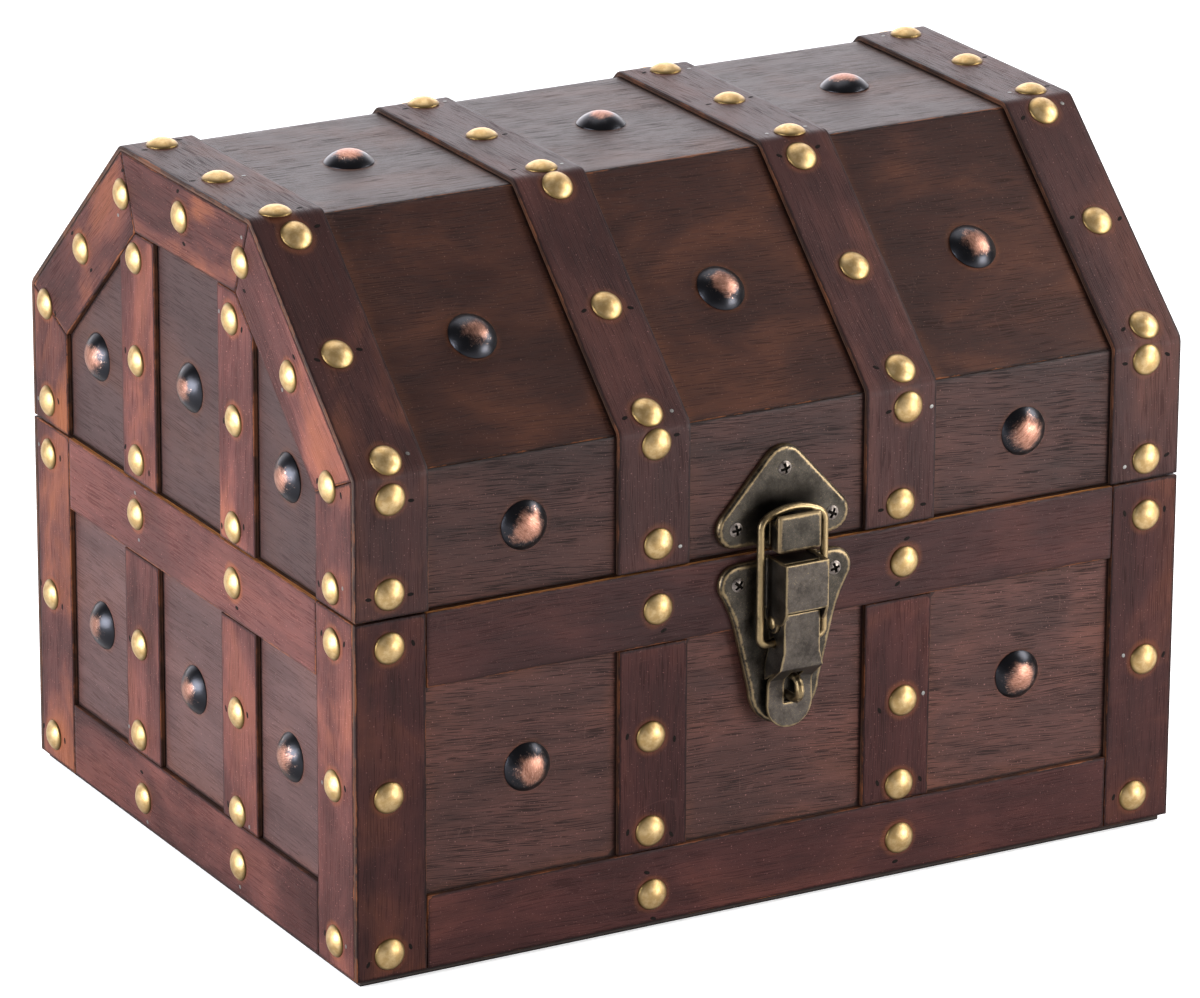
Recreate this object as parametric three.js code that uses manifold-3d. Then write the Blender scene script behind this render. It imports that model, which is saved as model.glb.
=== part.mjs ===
// Sea chest: a plank box with a five-sided lid, edged and strapped with flat wooden strips,
// studded with brass and copper dome nails, shut by an over-centre toggle latch.
// Millimetres, Z up, X along the length, front face towards -Y, origin under the middle of the chest.
import * as THREE from "three";
import Module from "manifold-3d";
import { mergeVertices } from "three/addons/utils/BufferGeometryUtils.js";

const wasm = await Module();
wasm.setup();

// Chest outline, measured over the strips
const chestLength = 330;
const chestDepth = 254;
const rimHeight = 132.5;
const lidWallHeight = 51;
const lidSlopeRise = 70.8;
const lidFlatDepth = 101.5;
const lidGap = 0.7;
const bendRadius = 5;

// Boards
const boardThickness = 8;
const bottomDrop = 2.5;

// Strips
const stripThickness = 2.1;
const stripWidth = 27;
const bandWidth = 28.2;
const stripSoftEdge = 0.5;
const seamGap = 0.3;
const longStrapCentre = 49.3;
const endStrapCentre = 38.5;

// Dome nails
const brassRadius = 5.8;
const brassHeight = 2.7;
const copperRadius = 8.9;
const copperHeight = 4.6;
const nailRoot = 1;
const stileNailInset = 10.5;
const wallNailLow = 8.6;
const wallNailHigh = 7.2;
const slopeNailLow = 6.6;
const slopeNailHigh = 7.9;
const topNailInset = 5.75;
const strapNailRise = 7.5;
const endStrapNailDrop = 7.6;
const crownNailInset = 17.2;
const crownNailShift = 4.25;
const flankNailInset = 12.7;
const copperCrownDrop = 4.4;
const copperFlankDrop = 14.7;
const slopeNailShare = 0.48;
const strapNailShare = 0.54;

// Latch: distances out are from the face of the strips, rises and drops from the piece named first
const latchMiddle = 2;
const sheet = 1.1;
const plateRise = 2.5;
const plateRimSoft = 0.5;
const screwHoleRadius = 1.7;
const catchHalfWidth = 26.4;
const catchHeight = 35.1;
const catchRise = 1.9;
const catchLobeRadius = 7.2;
const catchApexRadius = 8.4;
const hookHalfWidth = 8.7;
const hookReach = 11.8;
const hookRise = 1.6;
const hookHeight = 13.7;
const hookSeatPlay = 0.35;
const hookSeatRoom = 0.85;
const hookSeatHold = 1.3;
const baseEarHalfWidth = 26.5;
const baseEarRadius = 7.2;
const basePlateHeight = 61.6;
const basePlateDrop = 2.6;
const baseWaistHalfWidth = 19.8;
const baseWaistDrop = 17.2;
const baseToeRadius = 14.2;
const baseToeScrewRise = 5.7;
const bracketHalfWidth = 8.6;
const bracketReach = 17;
const bracketDrop = 0.3;
const bracketFrontHeight = 17.5;
const bracketLobeRadius = 3.9;
const bracketFootWidth = 2.9;
const bracketFootHeight = 18;
const bracketTabReach = 12;
const bracketTabDrop = 1;
const pivotOut = 7.3;
const pivotDrop = 6.1;
const pivotRadius = 1.5;
const pivotHeadRadius = 2.5;
const pivotHeadHeight = 0.8;
const holeClearance = 0.3;
const leverSidePlay = 0.3;
const leverFlare = 1.4;
const leverReach = 13.7;
const leverNoseRadius = 4.3;
const leverStraight = 10.3;
const leverFlareLength = 5.8;
const leverFoldLength = 6;
const leverHeelLength = 0.3;
const tailRecess = 7.9;
const tailStep = 2.1;
const tailLead = 0.8;
const tailRadius = 9.1;
const tailLength = 16.4;
const wireRadius = 1.45;
const loopHalfWidth = 12.7;
const loopOut = 6.3;
const loopFootDrop = 7.9;
const loopTuck = 1.2;
const loopArch = 2.2;
const loopFootBend = 2.6;
const loopShoulderBend = 4;
const loopEndInset = 5.7;
const stapleRadius = 4.1;
const stapleWire = 1.55;
const stapleOut = 8.7;
const stapleRise = 15.7;
const stapleSlotPlay = 0.8;

// Back hinges
const hingeWidth = 24;
const hingeLeafHeight = 24;
const hingeLeafThickness = 1.5;
const hingeKnuckleRadius = 2.6;
const hingePinRadius = 1;
const hingePinHeadRadius = 1.7;
const hingePinHeadHeight = 0.7;
const hingeBackset = 2.7;
const hingePlay = 0.3;
const hingeScrewRise = 7;
const hingeScrewSpread = 6.5;

// Faces of curves, and how far a cut runs past what it cuts
const nailSides = 8;
const copperSides = 10;
const bendSteps = 4;
const lobeSteps = 7;
const wireSides = 8;
const loopSteps = 46;
const stapleSteps = 16;
const pinSides = 12;
const cutOverrun = 2;

// Derived planes of the chest
const halfLength = chestLength / 2;
const halfDepth = chestDepth / 2;
const boardHalfLength = halfLength - stripThickness;
const boardHalfDepth = halfDepth - stripThickness;
const innerHalfLength = boardHalfLength - boardThickness;
const innerHalfDepth = boardHalfDepth - boardThickness;
const lidBottom = rimHeight + lidGap;
const kneeHeight = lidBottom + lidWallHeight;
const chestHeight = kneeHeight + lidSlopeRise;
const stileInner = halfLength - stripWidth;
const endStileInner = boardHalfDepth - stripWidth;
const topRailBottom = rimHeight - stripWidth;
const bottomRailTop = bottomDrop + stripWidth;

// Derived heights of the latch
const catchLobeHeight = lidBottom + catchRise + catchLobeRadius;
const catchApexHeight = lidBottom + catchRise + catchHeight - catchApexRadius;
const hookBottom = lidBottom + hookRise;
const hookLipTop = hookBottom + hookHeight;
const loopShoulder = hookLipTop - loopTuck;
const loopCrown = loopShoulder + loopArch;
const basePlateTop = rimHeight - basePlateDrop;
const basePlateBottom = basePlateTop - basePlateHeight;
const baseEarHeight = basePlateTop - baseEarRadius;
const baseToeHeight = basePlateBottom + baseToeRadius;
const bracketTop = rimHeight - bracketDrop;
const bracketLip = bracketTop - bracketFrontHeight;
const pivotHeight = bracketLip - pivotDrop;
const loopBottom = pivotHeight - loopFootDrop;
const leverFlareStart = pivotHeight - leverStraight;
const leverFlareEnd = leverFlareStart - leverFlareLength;
const leverFoldHeight = leverFlareEnd - leverFoldLength;
const tailTopHeight = leverFoldHeight - tailStep;
const tailBottom = tailTopHeight - tailLength;
const stapleHeight = tailBottom + stapleRise;

// Domes: share of the radius, share of the height
const brassShares = [[1, 0], [0.65, 0.64], [0, 1]];
const copperShares = [[1, 0], [0.8, 0.42], [0.4, 0.87], [0, 1]];

// Wood and metal
const panelWood = surface(0x4a2a22, 0.55, 0);
const stripWood = surface(0x5a2f26, 0.5, 0);
const bronze = surface(0x6b5f49, 0.45, 0.9);
const wornBrass = surface(0xa08a55, 0.4, 0.9);

const chest = new THREE.Group();
chest.name = "sea_chest";

function surface(color, roughness, metalness) {
  return new THREE.MeshStandardMaterial({ color, roughness, metalness });
}

function add(group, name, material, geometry) {
  const mesh = new THREE.Mesh(geometry, material);
  mesh.name = name;
  group.add(mesh);
}

function subgroup(name) {
  const group = new THREE.Group();
  group.name = name;
  chest.add(group);
  return group;
}

// Solids

function solid(geometry) {
  const bare = geometry.clone();
  bare.deleteAttribute("normal");
  bare.deleteAttribute("uv");
  const merged = mergeVertices(bare);
  return new wasm.Manifold(
    new wasm.Mesh({
      numProp: 3,
      vertProperties: merged.attributes.position.array,
      triVerts: new Uint32Array(merged.index.array),
    }),
  );
}

function shell(body) {
  const mesh = body.getMesh();
  const geometry = new THREE.BufferGeometry();
  geometry.setAttribute("position", new THREE.BufferAttribute(mesh.vertProperties.slice(), mesh.numProp));
  geometry.setIndex(new THREE.BufferAttribute(mesh.triVerts.slice(), 1));
  geometry.computeVertexNormals();
  return geometry;
}

function join(first, ...others) {
  return shell(others.reduce((body, other) => body.add(solid(other)), solid(first)));
}

function cut(first, ...tools) {
  return shell(tools.reduce((body, tool) => body.subtract(solid(tool)), solid(first)));
}

function common(first, second) {
  return shell(solid(first).intersect(solid(second)));
}

// A flat outline pushed along one axis between two exact planes.
function prism(outline, from, to, place) {
  const shape = new THREE.Shape(outline.map(([u, v]) => new THREE.Vector2(u, v)));
  const geometry = new THREE.ExtrudeGeometry(shape, { depth: 1, bevelEnabled: false });
  const position = geometry.attributes.position;
  for (let i = 0; i < position.count; i++) {
    const along = position.getZ(i) > 0 ? to : from;
    position.setXYZ(i, ...place(position.getX(i), position.getY(i), along));
  }
  return geometry;
}

// The outline is in (y, z) for prismX, (x, z) for prismY and (x, y) for prismZ.
function prismX(outline, from, to) {
  return prism(outline, from, to, (u, v, w) => [w, u, v]);
}

function prismY(outline, from, to) {
  const turned = outline.map(([x, z]) => [z, x]);
  return prism(turned, from, to, (u, v, w) => [v, w, u]);
}

function block(low, high) {
  const outline = [
    [low[1], low[2]],
    [high[1], low[2]],
    [high[1], high[2]],
    [low[1], high[2]],
  ];
  return prismX(outline, low[0], high[0]);
}

// A strip lying on a face: its outer edges are eased, its back is flat on the board.
function strip(low, high, axis, side) {
  const [u, v] = [(axis + 1) % 3, (axis + 2) % 3];
  const back = side > 0 ? low[axis] : high[axis];
  const front = side > 0 ? high[axis] : low[axis];
  const ring = (level, inset) => {
    const corners = [
      [low[u] + inset, low[v] + inset],
      [high[u] - inset, low[v] + inset],
      [high[u] - inset, high[v] - inset],
      [low[u] + inset, high[v] - inset],
    ];
    return corners.map(([a, b]) => {
      const point = [0, 0, 0];
      point[axis] = level;
      point[u] = a;
      point[v] = b;
      return point;
    });
  };
  return skin([ring(back, 0), ring(front - side * stripSoftEdge, 0), ring(front, stripSoftEdge)]);
}

// Closes a stack of flat rings of equal length, square to one axis, into one body facing out.
function skin(rings) {
  const axis = [0, 1, 2].find((k) => rings[0].every((point) => point[k] === rings[0][0][k]));
  const [u, v] = [(axis + 1) % 3, (axis + 2) % 3];
  const flat = rings[0].map((point) => new THREE.Vector2(point[u], point[v]));
  const clockwise = THREE.ShapeUtils.area(flat) < 0;
  const ordered = clockwise ? rings.map((ring) => [...ring].reverse()) : rings;
  if (clockwise) flat.reverse();
  const rises = rings[rings.length - 1][0][axis] > rings[0][0][axis];
  const count = flat.length;
  const faces = [];
  for (let level = 0; level + 1 < ordered.length; level++) {
    for (let i = 0; i < count; i++) {
      const next = (i + 1) % count;
      const a = level * count + i;
      const b = level * count + next;
      faces.push([a, b, b + count], [a, b + count, a + count]);
    }
  }
  const last = (ordered.length - 1) * count;
  for (const [a, b, c] of THREE.ShapeUtils.triangulateShape(flat, [])) {
    faces.push([a, c, b], [a + last, b + last, c + last]);
  }
  const turned = rises ? faces : faces.map(([a, b, c]) => [a, c, b]);
  const indexed = new THREE.BufferGeometry();
  indexed.setAttribute("position", new THREE.Float32BufferAttribute(ordered.flat(2), 3));
  indexed.setIndex(turned.flat());
  const body = indexed.toNonIndexed();
  body.computeVertexNormals();
  return body;
}

// A round bar along X from a profile of [x, radius] pairs.
function turnedX(profile, y, z, sides) {
  const points = profile.map(([x, radius]) => new THREE.Vector2(radius, x));
  const geometry = new THREE.LatheGeometry(points, sides);
  geometry.rotateZ(-Math.PI / 2);
  geometry.translate(0, y, z);
  return geometry;
}

function rod(x, y, z, radius, from, to, axis) {
  const points = [
    new THREE.Vector2(0, from),
    new THREE.Vector2(radius, from),
    new THREE.Vector2(radius, to),
    new THREE.Vector2(0, to),
  ];
  const geometry = new THREE.LatheGeometry(points, pinSides);
  if (axis === "x") geometry.rotateZ(-Math.PI / 2);
  geometry.translate(x, y, z);
  return geometry;
}

// A low dome nail head whose root is sunk in the wood that carries it.
function dome(radius, rise, shares, sides, point, normal) {
  const profile = [
    new THREE.Vector2(0, -nailRoot),
    new THREE.Vector2(radius, -nailRoot),
    ...shares.map(([out, up]) => new THREE.Vector2(out * radius, up * rise)),
  ];
  const geometry = new THREE.LatheGeometry(profile, sides);
  const up = new THREE.Vector3(0, 1, 0);
  const turn = new THREE.Quaternion().setFromUnitVectors(up, new THREE.Vector3(...normal).normalize());
  geometry.applyQuaternion(turn);
  geometry.translate(...point);
  return geometry;
}

function brassNail(point, normal) {
  return dome(brassRadius, brassHeight, brassShares, nailSides, point, normal);
}

function copperNail(point, normal) {
  return dome(copperRadius, copperHeight, copperShares, copperSides, point, normal);
}

// Outline of the lid in (y, z), a given distance inside the face of the bands.

function lidCorners() {
  return [
    [-halfDepth, lidBottom],
    [-halfDepth, kneeHeight],
    [-lidFlatDepth / 2, chestHeight],
    [lidFlatDepth / 2, chestHeight],
    [halfDepth, kneeHeight],
    [halfDepth, lidBottom],
  ];
}

function unit([a, b], [c, d]) {
  const reach = Math.hypot(c - a, d - b);
  return [(c - a) / reach, (d - b) / reach];
}

// Everything known about the bend at corner number i: where it turns, and between which outward angles.
function bend(i) {
  const corners = lidCorners();
  const before = unit(corners[i - 1], corners[i]);
  const after = unit(corners[i], corners[i + 1]);
  const from = Math.atan2(before[0], -before[1]);
  const to = Math.atan2(after[0], -after[1]);
  const half = (from - to) / 2;
  const middle = (from + to) / 2;
  const inward = [-Math.cos(middle), -Math.sin(middle)];
  return { corner: corners[i], from, to, half, inward };
}

function sharpCorner(i, inset) {
  const { corner, half, inward } = bend(i);
  const reach = inset / Math.cos(half);
  return [corner[0] + inward[0] * reach, corner[1] + inward[1] * reach];
}

function roundCorner(i, inset) {
  const { from, to } = bend(i);
  const centre = sharpCorner(i, bendRadius);
  const radius = bendRadius - inset;
  return Array.from({ length: bendSteps + 1 }, (_, step) => {
    const angle = from + ((to - from) * step) / bendSteps;
    return [centre[0] + radius * Math.cos(angle), centre[1] + radius * Math.sin(angle)];
  });
}

function lidLine(inset, cornerAt) {
  return [
    [-halfDepth + inset, lidBottom],
    ...[1, 2, 3, 4].flatMap((i) => cornerAt(i, inset)),
    [halfDepth - inset, lidBottom],
  ];
}

// Height of the underside of the lid's slanted outline at a given y, for a given inset.
function lidHeightAt(y, inset) {
  const knee = sharpCorner(y < 0 ? 1 : 4, inset);
  const crown = sharpCorner(y < 0 ? 2 : 3, inset);
  if (Math.abs(y) <= Math.abs(crown[0])) return crown[1];
  return knee[1] + ((crown[1] - knee[1]) * (y - knee[0])) / (crown[0] - knee[0]);
}

// Base boards

function baseBoards() {
  const group = subgroup("base_boards");
  add(group, "base_bottom_board", panelWood, block(
    [-boardHalfLength, -boardHalfDepth, 0],
    [boardHalfLength, boardHalfDepth, boardThickness],
  ));
  const panelMiddle = (topRailBottom + bottomRailTop) / 2;
  const longPanel = (stileInner + longStrapCentre + stripWidth / 2) / 2;
  const endPanel = (endStileInner + endStrapCentre + stripWidth / 2) / 2;
  for (const [name, side] of [["front", -1], ["back", 1]]) {
    const ys = [side * boardHalfDepth, side * innerHalfDepth].sort((a, b) => a - b);
    const board = block([-boardHalfLength, ys[0], boardThickness], [boardHalfLength, ys[1], rimHeight]);
    const places = side < 0 ? [-longPanel, longPanel] : [-longPanel, 0, longPanel];
    const nails = places.map((x) => copperNail([x, side * boardHalfDepth, panelMiddle], [0, side, 0]));
    add(group, "base_" + name + "_board", panelWood, join(board, ...nails));
  }
  for (const [name, side] of [["left", -1], ["right", 1]]) {
    const xs = [side * boardHalfLength, side * innerHalfLength].sort((a, b) => a - b);
    const board = block([xs[0], -innerHalfDepth, boardThickness], [xs[1], innerHalfDepth, rimHeight]);
    const places = [-endPanel, 0, endPanel];
    const nails = places.map((y) => copperNail([side * boardHalfLength, y, panelMiddle], [side, 0, 0]));
    add(group, "base_" + name + "_board", panelWood, join(board, ...nails));
  }
}

// A strip of the base on the front or back face, spanning x and z, with its nails.
function longFaceStrip(side, x0, x1, z0, z1, nails) {
  const [near, far] = [side * boardHalfDepth, side * halfDepth].sort((a, b) => a - b);
  const body = strip([x0, near, z0], [x1, far, z1], 1, side);
  return join(body, ...nails.map(([x, z]) => brassNail([x, side * halfDepth, z], [0, side, 0])));
}

// A strip of the base on the left or right face, spanning y and z, with its nails.
function endFaceStrip(side, y0, y1, z0, z1, nails) {
  const [near, far] = [side * boardHalfLength, side * halfLength].sort((a, b) => a - b);
  const body = strip([near, y0, z0], [far, y1, z1], 0, side);
  return join(body, ...nails.map(([y, z]) => brassNail([side * halfLength, y, z], [side, 0, 0])));
}

// The six strips that frame one face of the base.
function faceFrame(group, name, makeStrip, side, outer, inner, strapCentre, sides, hinged) {
  const middle = (rimHeight + bottomDrop) / 2;
  const stileNails = [rimHeight - stileNailInset, middle, bottomDrop + stileNailInset];
  const railNailHeight = (edge) => edge + stripWidth / 2;
  for (const [label, way] of sides) {
    const [from, to] = [way * inner, way * outer].sort((a, b) => a - b);
    const nailAt = way * (inner + stripWidth / 2);
    const nails = stileNails.map((z) => [nailAt, z]);
    add(group, name + "_" + label + "_stile", stripWood, makeStrip(side, from, to, bottomDrop, rimHeight, nails));
  }
  const railEnd = inner - seamGap;
  const railNails = (z) => (way) => [way * strapCentre, z];
  const ways = sides.map(([, way]) => way);
  const upper = hinged ? [] : ways.map(railNails(railNailHeight(topRailBottom)));
  const lower = ways.map(railNails(railNailHeight(bottomDrop)));
  add(group, name + "_top_rail", stripWood,
    makeStrip(side, -railEnd, railEnd, topRailBottom, rimHeight, upper));
  add(group, name + "_bottom_rail", stripWood,
    makeStrip(side, -railEnd, railEnd, bottomDrop, bottomRailTop, lower));
  for (const [label, way] of sides) {
    const centre = way * strapCentre;
    const strapLength = topRailBottom - bottomRailTop;
    const nails = [strapNailShare * strapLength, strapNailRise].map((rise) => [centre, bottomRailTop + rise]);
    const body = makeStrip(side, centre - stripWidth / 2, centre + stripWidth / 2,
      bottomRailTop + seamGap, topRailBottom - seamGap, nails);
    add(group, name + "_" + label + "_strap", stripWood, body);
  }
}

function baseTrim() {
  const group = subgroup("base_trim");
  const across = [["left", -1], ["right", 1]];
  const along = [["front", -1], ["back", 1]];
  for (const [name, side] of along) {
    faceFrame(group, name, longFaceStrip, side, halfLength, stileInner, longStrapCentre, across, side > 0);
  }
  for (const [name, side] of across) {
    faceFrame(group, name, endFaceStrip, side, boardHalfDepth, endStileInner, endStrapCentre, along, false);
  }
}

// Lid boards: five long planks mitred where the lid bends, and two shaped ends between them.

function normalAt(i) {
  const corners = lidCorners();
  const along = unit(corners[i], corners[i + 1]);
  return [-along[1], along[0]];
}

// A point on plank number i, a distance along it from its lower or front corner, at an inset from the bands.
function onPlank(i, distance, inset) {
  const corners = lidCorners();
  const along = unit(corners[i], corners[i + 1]);
  const out = normalAt(i);
  return [
    corners[i][0] + along[0] * distance - out[0] * inset,
    corners[i][1] + along[1] * distance - out[1] * inset,
  ];
}

function plankSpan(i) {
  const corners = lidCorners();
  return Math.hypot(corners[i + 1][0] - corners[i][0], corners[i + 1][1] - corners[i][1]);
}

function plankOutline(i) {
  const deep = stripThickness + boardThickness;
  const half = bendSteps / 2;
  const startsAtBend = i > 0;
  const endsAtBend = i < 4;
  const begin = startsAtBend ? roundCorner(i, stripThickness).slice(half) : [onPlank(i, 0, stripThickness)];
  const finish = endsAtBend
    ? roundCorner(i + 1, stripThickness).slice(0, half + 1)
    : [onPlank(i, plankSpan(i), stripThickness)];
  const innerEnd = endsAtBend ? sharpCorner(i + 1, deep) : [innerHalfDepth, lidBottom];
  const innerStart = startsAtBend ? sharpCorner(i, deep) : [-innerHalfDepth, lidBottom];
  return [...begin, ...finish, innerEnd, innerStart];
}

function lidBoards() {
  const group = subgroup("lid_boards");
  const names = ["lid_front_board", "lid_front_slope_board", "lid_top_board", "lid_back_slope_board", "lid_back_board"];
  const panelX = (stileInner + longStrapCentre + bandWidth / 2) / 2;
  names.forEach((name, i) => {
    const plank = prismX(plankOutline(i), -boardHalfLength, boardHalfLength);
    const places = i === 0 ? [-panelX, panelX] : [-panelX, 0, panelX];
    const outward = normalAt(i);
    const share = { 1: slopeNailShare, 3: 1 - slopeNailShare }[i] ?? 0.5;
    const [y, z] = onPlank(i, share * plankSpan(i), stripThickness);
    const nails = places.map((x) => copperNail([x, y, z], [0, ...outward]));
    add(group, name, panelWood, join(plank, ...nails));
  });
  const outline = [
    [-innerHalfDepth, lidBottom],
    ...[1, 2, 3, 4].map((i) => sharpCorner(i, stripThickness + boardThickness)),
    [innerHalfDepth, lidBottom],
  ];
  const endPanel = (endStileInner + endStrapCentre + stripWidth / 2) / 2;
  for (const [name, side] of [["left", -1], ["right", 1]]) {
    const [from, to] = [side * boardHalfLength, side * innerHalfLength].sort((a, b) => a - b);
    const nails = [
      [-endPanel, kneeHeight - copperFlankDrop],
      [0, kneeHeight - copperCrownDrop],
      [endPanel, kneeHeight - copperFlankDrop],
    ].map(([y, z]) => copperNail([side * boardHalfLength, y, z], [side, 0, 0]));
    add(group, "lid_" + name + "_board", panelWood, join(prismX(outline, from, to), ...nails));
  }
}

// Lid bands: one strip each, bent over the whole lid from the front edge to the back edge.

function bandNails(x, hinged) {
  const [wall, slope, top] = [0, 1, 2].map(plankSpan);
  const distances = [
    [wallNailLow, wall - wallNailHigh],
    [slopeNailLow, slopeNailShare * slope, slope - slopeNailHigh],
    [topNailInset, top / 2, top - topNailInset],
    [slopeNailHigh, slope - slopeNailShare * slope, slope - slopeNailLow],
    hinged ? [wallNailHigh] : [wallNailHigh, wall - wallNailLow],
  ];
  return distances.flatMap((list, i) =>
    list.map((distance) => brassNail([x, ...onPlank(i, distance, 0)], [0, ...normalAt(i)])));
}

function lidBands() {
  const group = subgroup("lid_bands");
  const outline = [
    ...lidLine(0, roundCorner),
    ...lidLine(stripThickness, roundCorner).reverse(),
  ];
  const outerCentre = halfLength - bandWidth / 2;
  const bands = [
    ["lid_band_outer_left", -halfLength, -outerCentre, false],
    ["lid_band_inner_left", -longStrapCentre - bandWidth / 2, -longStrapCentre, true],
    ["lid_band_inner_right", longStrapCentre - bandWidth / 2, longStrapCentre, true],
    ["lid_band_outer_right", halfLength - bandWidth, outerCentre, false],
  ];
  for (const [name, from, centre, hinged] of bands) {
    add(group, name, stripWood, join(prismX(outline, from, from + bandWidth), ...bandNails(centre, hinged)));
  }
}

// Lid ends: a mitred border of five strips round each end, and two upright straps inside it.

// The open joints between the border's strips: a thin cut along each mitre, half as deep as the strips.
function mitreSeams(side, inner) {
  const face = side * halfLength;
  const [from, to] = [face - (side * stripThickness) / 2, face + side * cutOverrun].sort((a, b) => a - b);
  return [1, 2, 3, 4].map((i) => {
    const [start, end] = [sharpCorner(i, 0), sharpCorner(i, inner + cutOverrun)];
    const along = unit(start, end);
    const aside = [(-along[1] * seamGap) / 2, (along[0] * seamGap) / 2];
    const seam = [
      [start[0] - aside[0], start[1] - aside[1]],
      [end[0] - aside[0], end[1] - aside[1]],
      [end[0] + aside[0], end[1] + aside[1]],
      [start[0] + aside[0], start[1] + aside[1]],
    ];
    return prismX(seam, from, to);
  });
}

function lidEnds() {
  const group = subgroup("lid_ends");
  const inner = stripThickness + stripWidth;
  const outline = [
    ...lidLine(stripThickness, roundCorner),
    ...lidLine(inner, (i, inset) => [sharpCorner(i, inset)]).reverse(),
  ];
  const uprightNail = halfDepth - stripThickness - stripWidth / 2;
  const borderNails = [
    [-uprightNail, lidBottom + wallNailLow],
    [-uprightNail, kneeHeight - wallNailHigh],
    onPlank(1, slopeNailShare * plankSpan(1), flankNailInset),
    onPlank(2, crownNailShift, crownNailInset),
  ];
  const crownNail = chestHeight - stripThickness - stripWidth / 2;
  const strapNailLow = lidBottom + wallNailLow;
  const strapNailHigh = chestHeight - inner - endStrapNailDrop;
  for (const [name, side] of [["left", -1], ["right", 1]]) {
    const [from, to] = [side * boardHalfLength, side * halfLength].sort((a, b) => a - b);
    const studs = [...borderNails, ...borderNails.map(([y, z]) => [-y, z]), [0, crownNail]];
    const nail = ([y, z]) => brassNail([side * halfLength, y, z], [side, 0, 0]);
    const frame = cut(prismX(outline, from, to), ...mitreSeams(side, inner));
    add(group, "lid_" + name + "_border", stripWood, join(frame, ...studs.map(nail)));
    for (const [label, way] of [["front", -1], ["back", 1]]) {
      const centre = way * endStrapCentre;
      const reach = [centre - stripWidth / 2, centre + stripWidth / 2];
      const edge = inner + seamGap;
      const crown = sharpCorner(way < 0 ? 2 : 3, edge);
      const strap = [
        [reach[0], lidBottom],
        [reach[1], lidBottom],
        [reach[1], lidHeightAt(reach[1], edge)],
        crown,
        [reach[0], lidHeightAt(reach[0], edge)],
      ];
      const heights = [strapNailLow, (strapNailLow + strapNailHigh) / 2, strapNailHigh];
      const body = join(prismX(strap, from, to), ...heights.map((z) => nail([centre, z])));
      add(group, "lid_" + name + "_" + label + "_strap", stripWood, body);
    }
  }
}

// Latch. Outlines are drawn as seen from the front or the side; out() turns a distance out from the
// face of the strips into y.

function out(distance) {
  return -halfDepth - distance;
}

function arc(x, z, radius, from, to, steps) {
  return Array.from({ length: steps + 1 }, (_, i) => {
    const angle = from + ((to - from) * i) / steps;
    return [x + radius * Math.cos(angle), z + radius * Math.sin(angle)];
  });
}

// A curve that leaves one point towards a corner and arrives at the other from it.
function sweep(start, corner, end, steps) {
  return Array.from({ length: steps - 1 }, (_, i) => {
    const t = (i + 1) / steps;
    const s = 1 - t;
    return [0, 1].map((k) => s * s * start[k] + 2 * s * t * corner[k] + t * t * end[k]);
  });
}

function insetOutline(outline, distance) {
  return outline.map((point, i) => {
    const before = outline[(i + outline.length - 1) % outline.length];
    const after = outline[(i + 1) % outline.length];
    const a = unit(before, point);
    const b = unit(point, after);
    const inward = [-(a[1] + b[1]), a[0] + b[0]];
    const size = Math.hypot(...inward);
    const squareness = size / 2;
    const reach = distance / squareness / size;
    return [point[0] + inward[0] * reach, point[1] + inward[1] * reach];
  });
}

// A pressed plate with a turned-back rim: the outline (anticlockwise from the front) rises from its
// seat, rounds over, and is hollow behind.
function pressedPlate(outline, seat) {
  const level = (inset, rise) =>
    insetOutline(outline, inset).map(([x, z]) => [latchMiddle + x, out(seat + rise), z]);
  const shoulder = plateRise - sheet;
  const body = skin([
    level(0, 0),
    level(0, shoulder),
    level(plateRimSoft, plateRise - plateRimSoft / 2),
    level(sheet, plateRise),
  ]);
  const hollow = skin([
    level(sheet, -cutOverrun),
    level(sheet, shoulder - plateRimSoft),
    level(sheet + plateRimSoft, shoulder),
  ]);
  return cut(body, hollow);
}

function screwHole(x, z, seat) {
  return rod(latchMiddle + x, 0, z, screwHoleRadius, out(seat + plateRise + cutOverrun), out(seat - cutOverrun), "y");
}

function catchOutline() {
  const lobe = catchHalfWidth - catchLobeRadius;
  const rise = catchApexHeight - catchLobeHeight;
  const reach = Math.hypot(lobe, rise);
  const lean = Math.atan2(rise, lobe);
  const turn = Math.asin((catchLobeRadius - catchApexRadius) / reach);
  const flank = Math.PI / 2 - lean + turn;
  return [
    ...arc(lobe, catchLobeHeight, catchLobeRadius, -Math.PI / 2, flank, lobeSteps),
    ...arc(0, catchApexHeight, catchApexRadius, flank, Math.PI - flank, lobeSteps),
    ...arc(-lobe, catchLobeHeight, catchLobeRadius, Math.PI - flank, (3 * Math.PI) / 2, lobeSteps),
  ];
}

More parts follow.
